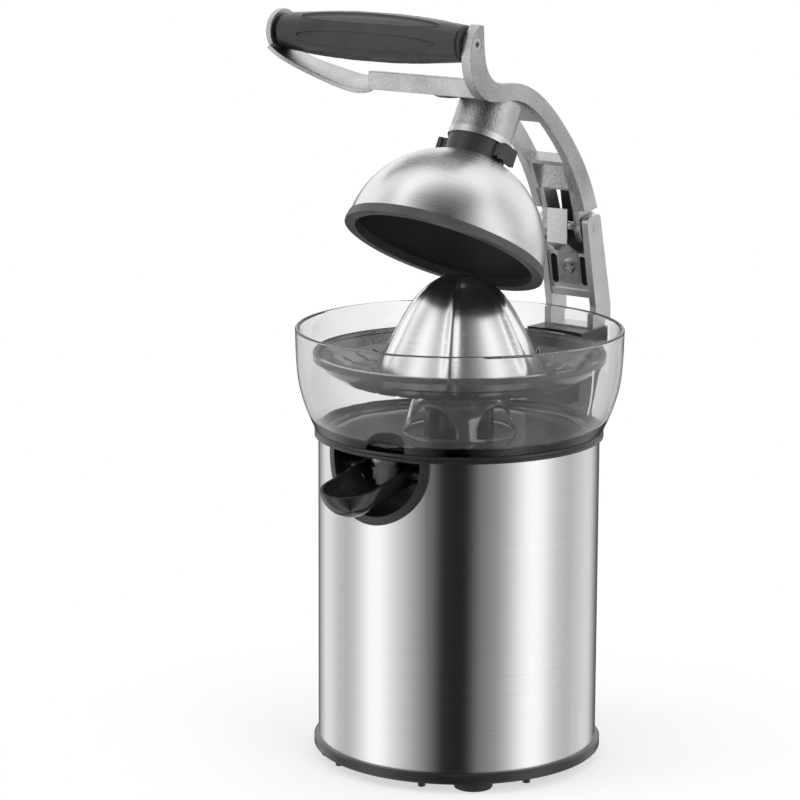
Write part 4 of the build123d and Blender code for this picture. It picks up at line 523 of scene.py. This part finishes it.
def makeFinish(name, plan):
    material = bpy.data.materials.new(name)
    material.use_nodes = True
    tree = material.node_tree
    shader = tree.nodes["Principled BSDF"]
    source = tree.nodes.new("ShaderNodeTexCoord").outputs["Object"]
    if "lean" in plan:
        # bring the piece's own axis upright before the lines are stretched
        centre = tree.nodes.new("ShaderNodeMapping")
        centre.inputs["Location"].default_value = [-value for value in plan["centre"]]
        upright = tree.nodes.new("ShaderNodeMapping")
        upright.inputs["Rotation"].default_value[0] = math.radians(plan["lean"])
        tree.links.new(source, centre.inputs["Vector"])
        tree.links.new(centre.outputs["Vector"], upright.inputs["Vector"])
        source = upright.outputs["Vector"]
    if "stretch" in plan:
        lay = tree.nodes.new("ShaderNodeMapping")
        lay.inputs["Scale"].default_value = plan["stretch"]
        tree.links.new(source, lay.inputs["Vector"])
        source = lay.outputs["Vector"]
    effect = tree.nodes.new("ShaderNodeGroup")
    effect.node_tree = plan["effect"]
    for label, value in plan["values"].items():
        effect.inputs[label].default_value = value
    tree.links.new(source, effect.inputs["Vector"])
    bump = tree.nodes.new("ShaderNodeBump")
    bump.inputs["Strength"].default_value, bump.inputs["Distance"].default_value = plan["bump"]
    tree.links.new(effect.outputs["Height"], bump.inputs["Height"])
    if "soften" in plan:
        # edges that catch the light as cast and moulded ones do
        edge = tree.nodes.new("ShaderNodeBevel")
        edge.samples = edgeSamples
        edge.inputs["Radius"].default_value = plan["soften"]
        tree.links.new(edge.outputs["Normal"], bump.inputs["Normal"])
    tone = effect.outputs["Color"]
    # painted shade: a darker tone is mixed into the colour where a glass wall is seen edge-on
    if "paintedEdgeShade" in plan:
        blend, depth = plan["paintedEdgeShade"]
        facing = tree.nodes.new("ShaderNodeLayerWeight")
        facing.inputs["Blend"].default_value = blend
        tone = addMix(tree, facing.outputs["Facing"], tone, grey(depth))
    tree.links.new(tone, shader.inputs["Base Color"])
    tree.links.new(effect.outputs["Roughness"], shader.inputs["Roughness"])
    tree.links.new(bump.outputs["Normal"], shader.inputs["Normal"])
    if "across" in plan:
        # gloss spreads across the brushing, and turns with the piece
        across = tree.nodes.new("ShaderNodeVectorTransform")
        across.vector_type = "VECTOR"
        across.convert_from = "OBJECT"
        across.convert_to = "WORLD"
        across.inputs["Vector"].default_value = plan["across"]
        tree.links.new(across.outputs["Vector"], shader.inputs["Tangent"])
    for label, value in plan["shader"].items():
        shader.inputs[label].default_value = value
    return material


made = {name: makeFinish(name, plan) for name, plan in finishes.items()}
print("finishes made:", len(made))

wears = {
    "glossBlack": ["base_pan", "top_collar", "spout_surround", "spout_well"],
    "softRubber": ["rubber_foot_1", "rubber_foot_2", "rubber_foot_3", "rubber_foot_4", "rubber_foot_5",
                   "cord_gland", "shaft_seal"],
    "brushedSleeve": ["body_sleeve"],
    "satinBlack": ["rear_bracket", "hinge_shield", "dome_neck", "release_tab_right", "release_tab_left"],
    "clearBowl": ["juice_bowl"],
    "clearSkirt": ["juice_skirt"],
    "smokyStrainer": ["strainer"],
    "smokySpout": ["drip_spout"],
    "polishedCone": ["reamer_cone"],
    "brushedDome": ["press_dome"],
    "sealRubber": ["dome_rim_seal"],
    "mattBlack": ["dome_liner", "cone_hub", "gearbox_floor", "gearbox_cover", "cooling_fan"],
    "gearNylon": ["output_gear", "idler_gear", "pinion"],
    "plainSteel": ["drive_shaft", "idler_axle", "motor_shaft", "hinge_pin", "grip_rod", "grip_screw",
                   "leaf_screw", "bracket_screw_1", "bracket_screw_2", "column_screw_1", "column_screw_2",
                   "dome_bolt"],
    "springSteel": ["leaf_spring"],
    "satinRing": ["boss_ring"],
    "bushBronze": ["lower_bush", "upper_bush"],
    "motorPlate": ["motor_can", "motor_cap"],
    "sheetStack": ["motor_stator", "rotor_core"],
    "castColumn": ["column"],
    "castLever": ["lever_arm"],
    "gripBlack": ["grip"],
}


# helpers for the new pieces
def fixNormals(mesh):
    shape = bmesh.new()
    shape.from_mesh(mesh)
    bmesh.ops.recalc_face_normals(shape, faces=shape.faces)
    shape.to_mesh(mesh)
    shape.free()


def makePiece(name, points, faces, finish, smooth=False):
    mesh = bpy.data.meshes.new(name)
    mesh.from_pydata(points, [], faces)
    mesh.update()
    for polygon in mesh.polygons:
        polygon.use_smooth = smooth
    mesh.materials.append(made[finish])
    fixNormals(mesh)
    piece = bpy.data.objects.new(name, mesh)
    bpy.context.scene.collection.objects.link(piece)
    return piece


def bandFaces(low, high):
    # quads between two rings of points
    steps = len(low)
    following = [(step + 1) % steps for step in range(steps)]
    return [(low[step], low[after], high[after], high[step]) for step, after in enumerate(following)]


def ringFaces(rings, steps):
    # each ring joins the next, and the last one the first
    starts = [list(range(ring * steps, (ring + 1) * steps)) for ring in range(rings)]
    faces = []
    for ring in range(rings):
        faces += bandFaces(starts[ring], starts[(ring + 1) % rings])
    return faces


def stadium(halfLength, halfWidth, steps):
    # points round a slot's outline
    outline = []
    for step in range(steps):
        turn = 2 * math.pi * (step + 0.5) / steps
        centre = math.copysign(halfLength - halfWidth, math.cos(turn))
        outline.append((centre + halfWidth * math.cos(turn), halfWidth * math.sin(turn)))
    return outline


# the grip: a barrel with long ovals sunk in it, each with a raised rim; sizes in metres
gripPlan = {
    "axis": (-0.0089, 0.3745),
    "ends": (-0.1095, 0.0102),
    "endRadius": 0.0094,
    "middleRadius": 0.0124,
    "edge": 0.0012,
    "rodRadius": 0.0033,
    "ovals": 6,
    "firstOval": 182.0,    # degrees from +Y, towards the front
    "ovalMiddle": -0.0486,
    "ovalHalfLength": 0.0447,
    "ovalHalfWidth": 0.0038,
    "ovalDepth": 0.0008,
    "rimHeight": 0.0005,
    "rimWidth": 0.00055,
    "leastFall": 1e-6,    # keeps the middle of an oval from a division by zero
    "stepsAlong": 220,
    "stepsRound": 216,
}


def gripRadius(plan, along):
    left, right = plan["ends"][0] + plan["edge"], plan["ends"][1] - plan["edge"]
    half = (right - left) / 2
    swell = plan["middleRadius"] - plan["endRadius"]
    bow = (half * half + swell * swell) / (2 * swell)    # radius of the barrel's long arc
    off = along - (left + right) / 2
    return plan["middleRadius"] - bow + math.sqrt(bow * bow - off * off)


def ovalLift(plan, along, turn, radius):
    # how far the skin stands out, below 0 where it is sunk; across and down are shares of an oval's halves
    pitch = 2 * math.pi / plan["ovals"]
    aside = (turn - math.radians(plan["firstOval"]) + pitch / 2) % pitch - pitch / 2
    across = aside * radius / plan["ovalHalfWidth"]
    down = (along - plan["ovalMiddle"]) / plan["ovalHalfLength"]
    fall = 2 * math.hypot(across / plan["ovalHalfWidth"], down / plan["ovalHalfLength"])
    # metres from the oval's edge
    apart = (across * across + down * down - 1) / max(fall, plan["leastFall"])
    sunk = min(max(0.5 - apart / plan["rimWidth"], 0.0), 1.0)
    rim = math.exp(-((apart / plan["rimWidth"]) ** 2))
    return plan["rimHeight"] * rim - plan["ovalDepth"] * sunk * sunk * (3 - 2 * sunk)


def makeGrip(plan):
    left, right = plan["ends"]
    edge = plan["edge"]
    rings = [(left, plan["rodRadius"], False), (left, plan["endRadius"] - edge, False)]
    steps = plan["stepsAlong"]
    for step in range(steps + 1):
        along = left + edge + (right - left - 2 * edge) * step / steps
        rings.append((along, gripRadius(plan, along), True))
    rings += [(right, plan["endRadius"] - edge, False), (right, plan["rodRadius"], False)]
    around = plan["stepsRound"]
    axisY, axisZ = plan["axis"]
    points = []
    for along, radius, shaped in rings:
        for step in range(around):
            turn = 2 * math.pi * step / around
            reach = radius + ovalLift(plan, along, turn, radius) if shaped else radius
            points.append((along, axisY + reach * math.cos(turn), axisZ + reach * math.sin(turn)))
    # the last ring closes on the first, through the rod's hole
    return makePiece("shapedGrip", points, ringFaces(len(rings), around), "gripBlack", smooth=True)


shapedGrip = makeGrip(gripPlan)
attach(shapedGrip, "lever")
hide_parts("grip")
print("grip shaped")

# beads round the strainer's slots, laid on its sloping floor; the bead is relief, and its lighter finish is
# painted highlight along the slot edges; sizes in metres
lipPlan = {
    "count": 30,
    "circle": 0.060,
    "length": 0.015,
    "width": 0.0017,
    "slant": 35.0,
    "bead": 0.00034,
    "floorLine": (0.1763, 0.19254),    # rise per metre out, and the level on the axis
    "wallLine": (0.69, 0.16121),
    "spacing": 0.0008,
    "cornerShare": 0.49,
    "cornerPoints": 4,
    "beadPoints": 6,
}


def slotLipTree(plan, finish):
    tree = bpy.data.node_groups.new("slotLips", "GeometryNodeTree")
    tree.interface.new_socket("Geometry", in_out="OUTPUT", socket_type="NodeSocketGeometry")
    sizes = {}
    for label in ("Count", "Circle", "Length", "Width", "Slant", "Bead"):
        kind = "NodeSocketInt" if label == "Count" else "NodeSocketFloat"
        sizes[label] = tree.interface.new_socket(label, in_out="INPUT", socket_type=kind).identifier
    link = tree.links.new
    given = tree.nodes.new("NodeGroupInput")
    outline = tree.nodes.new("GeometryNodeCurvePrimitiveQuadrilateral")
    link(given.outputs["Length"], outline.inputs["Width"])
    link(given.outputs["Width"], outline.inputs["Height"])
    rounded = tree.nodes.new("GeometryNodeFilletCurve")
    rounded.mode = "POLY"
    rounded.inputs["Count"].default_value = plan["cornerPoints"]
    link(outline.outputs["Curve"], rounded.inputs["Curve"])
    link(addMath(tree, "MULTIPLY", given.outputs["Width"], plan["cornerShare"]), rounded.inputs["Radius"])
    finer = tree.nodes.new("GeometryNodeResampleCurve")
    finer.mode = "LENGTH"
    finer.inputs["Length"].default_value = plan["spacing"]
    link(rounded.outputs["Curve"], finer.inputs["Curve"])
    section = tree.nodes.new("GeometryNodeCurvePrimitiveCircle")
    section.inputs["Resolution"].default_value = plan["beadPoints"]
    link(given.outputs["Bead"], section.inputs["Radius"])
    bead = tree.nodes.new("GeometryNodeCurveToMesh")
    link(finer.outputs["Curve"], bead.inputs["Curve"])
    link(section.outputs["Curve"], bead.inputs["Profile Curve"])

    # one bead round each slot, slanted from the radius
    places = tree.nodes.new("GeometryNodeMeshCircle")
    link(given.outputs["Count"], places.inputs["Vertices"])
    link(given.outputs["Circle"], places.inputs["Radius"])
    spot = tree.nodes.new("GeometryNodeInputPosition")
    parts = tree.nodes.new("ShaderNodeSeparateXYZ")
    link(spot.outputs["Position"], parts.inputs["Vector"])
    bearing = addMath(tree, "ARCTAN2", parts.outputs["Y"], parts.outputs["X"])
    turn = tree.nodes.new("ShaderNodeCombineXYZ")
    link(addMath(tree, "ADD", bearing, given.outputs["Slant"]), turn.inputs["Z"])
    spread = tree.nodes.new("GeometryNodeInstanceOnPoints")
    link(places.outputs["Mesh"], spread.inputs["Points"])
    link(bead.outputs["Mesh"], spread.inputs["Instance"])
    link(turn.outputs["Vector"], spread.inputs["Rotation"])
    real = tree.nodes.new("GeometryNodeRealizeInstances")
    link(spread.outputs["Instances"], real.inputs["Geometry"])

    # lift each point on to the floor or the wall, whichever is higher there
    where = tree.nodes.new("GeometryNodeInputPosition")
    flat = tree.nodes.new("ShaderNodeVectorMath")
    flat.operation = "MULTIPLY"
    flat.inputs[1].default_value = (1.0, 1.0, 0.0)
    link(where.outputs["Position"], flat.inputs[0])
    out = tree.nodes.new("ShaderNodeVectorMath")
    out.operation = "LENGTH"
    link(flat.outputs["Vector"], out.inputs[0])
    levels = [addMath(tree, "MULTIPLY_ADD", out.outputs["Value"], rise, level)
              for rise, level in (plan["floorLine"], plan["wallLine"])]
    lift = tree.nodes.new("ShaderNodeCombineXYZ")
    link(addMath(tree, "MAXIMUM", *levels), lift.inputs["Z"])
    laid = tree.nodes.new("GeometryNodeSetPosition")
    link(real.outputs["Geometry"], laid.inputs["Geometry"])
    link(lift.outputs["Vector"], laid.inputs["Offset"])
    dress = tree.nodes.new("GeometryNodeSetMaterial")
    dress.inputs["Material"].default_value = finish
    link(laid.outputs["Geometry"], dress.inputs["Geometry"])
    result = tree.nodes.new("NodeGroupOutput")
    link(dress.outputs["Geometry"], result.inputs["Geometry"])
    return tree, sizes


def growPiece(name, tree, settings):
    # runs a node tree on an empty mesh and keeps the result as a plain mesh
    seed = bpy.data.objects.new(name + "Seed", bpy.data.meshes.new(name + "Seed"))
    bpy.context.scene.collection.objects.link(seed)
    grow = seed.modifiers.new(name, "NODES")
    grow.node_group = tree
    for identifier, value in settings.items():
        grow[identifier] = value
    evaluated = seed.evaluated_get(bpy.context.evaluated_depsgraph_get())
    mesh = bpy.data.meshes.new_from_object(evaluated)
    mesh.name = name
    seed.modifiers.remove(grow)
    bpy.data.objects.remove(seed)
    piece = bpy.data.objects.new(name, mesh)
    bpy.context.scene.collection.objects.link(piece)
    for polygon in mesh.polygons:
        polygon.use_smooth = True
    fixNormals(mesh)
    return piece


lipTree, lipSizes = slotLipTree(lipPlan, made["clearLipGlint"])
plainSizes = ("Count", "Circle", "Length", "Width", "Bead")
lipSettings = {lipSizes[label]: lipPlan[label.lower()] for label in plainSizes}
lipSettings[lipSizes["Slant"]] = math.radians(lipPlan["slant"])
slotLips = growPiece("slotLips", lipTree, lipSettings)
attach(slotLips, "housing")
print("strainer lips laid:", len(slotLips.data.polygons), "faces")

# matt black plates on the floors of the two slots in the column's web, painted shade where the slots lie in
# shadow; sizes in metres
paintedShadePlan = {
    "pin": (0.0983, 0.2692),
    "lean": 10.5,
    "aside": 0.0095,
    "drop": 0.0235,
    "halfLength": 0.00815,
    "halfWidth": 0.0021,
    "levels": (0.00205, 0.0029),
    "steps": 32,
}


def makePaintedShade(plan):
    lean = math.radians(plan["lean"])
    up = (-math.sin(lean), math.cos(lean))
    front = (-math.cos(lean), -math.sin(lean))
    pinY, pinZ = plan["pin"]
    steps = plan["steps"]
    points, faces = [], []
    for side in (-1, 1):
        start = len(points)
        for level in plan["levels"]:
            for along, across in stadium(plan["halfLength"], plan["halfWidth"], steps):
                rise = along - plan["drop"]
                points.append((
                    side * plan["aside"] + across,
                    pinY + rise * up[0] + level * front[0],
                    pinZ + rise * up[1] + level * front[1],
                ))
        low = list(range(start, start + steps))
        high = list(range(start + steps, start + 2 * steps))
        faces += [low[::-1], high]
        faces += bandFaces(low, high)
    return makePiece("slotPaintedShade", points, faces, "mattBlack")


slotPaintedShade = makePaintedShade(paintedShadePlan)
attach(slotPaintedShade, "housing")
print("web slots shaded")

# a pale lining in the bowl's funnel and nozzle, painted light and highlights for the clear nozzle in its dark
# well: level, half length and half width of each ring, in metres
nozzleSheenPlan = {
    "place": -0.0615,
    "rings": [(0.1726, 0.00698, 0.00528), (0.1648, 0.00558, 0.00488), (0.1562, 0.00488, 0.00488)],
    "wall": 0.0005,
    "extraLength": 1e-6,    # added to every half length
    "steps": 64,
}


def makeNozzleSheen(plan):
    wall = plan["wall"]
    outside = plan["rings"]
    inside = [(level, length - wall, width - wall) for level, length, width in reversed(outside)]
    rings = outside + inside
    points = []
    for level, length, width in rings:
        for x, y in stadium(length + plan["extraLength"], width, plan["steps"]):
            points.append((x, plan["place"] + y, level))
    return makePiece("nozzlePaintedSheen", points, ringFaces(len(rings), plan["steps"]), "clearNozzleSheen")


nozzlePaintedSheen = makeNozzleSheen(nozzleSheenPlan)
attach(nozzlePaintedSheen, "housing")
print("nozzle lined")

dressed = 0
for finish, names in wears.items():
    for name in names:
        for place in nodes[name].material_slots:
            place.material = made[finish]
        dressed += 1
print("nodes dressed:", dressed, "of", len(nodes))
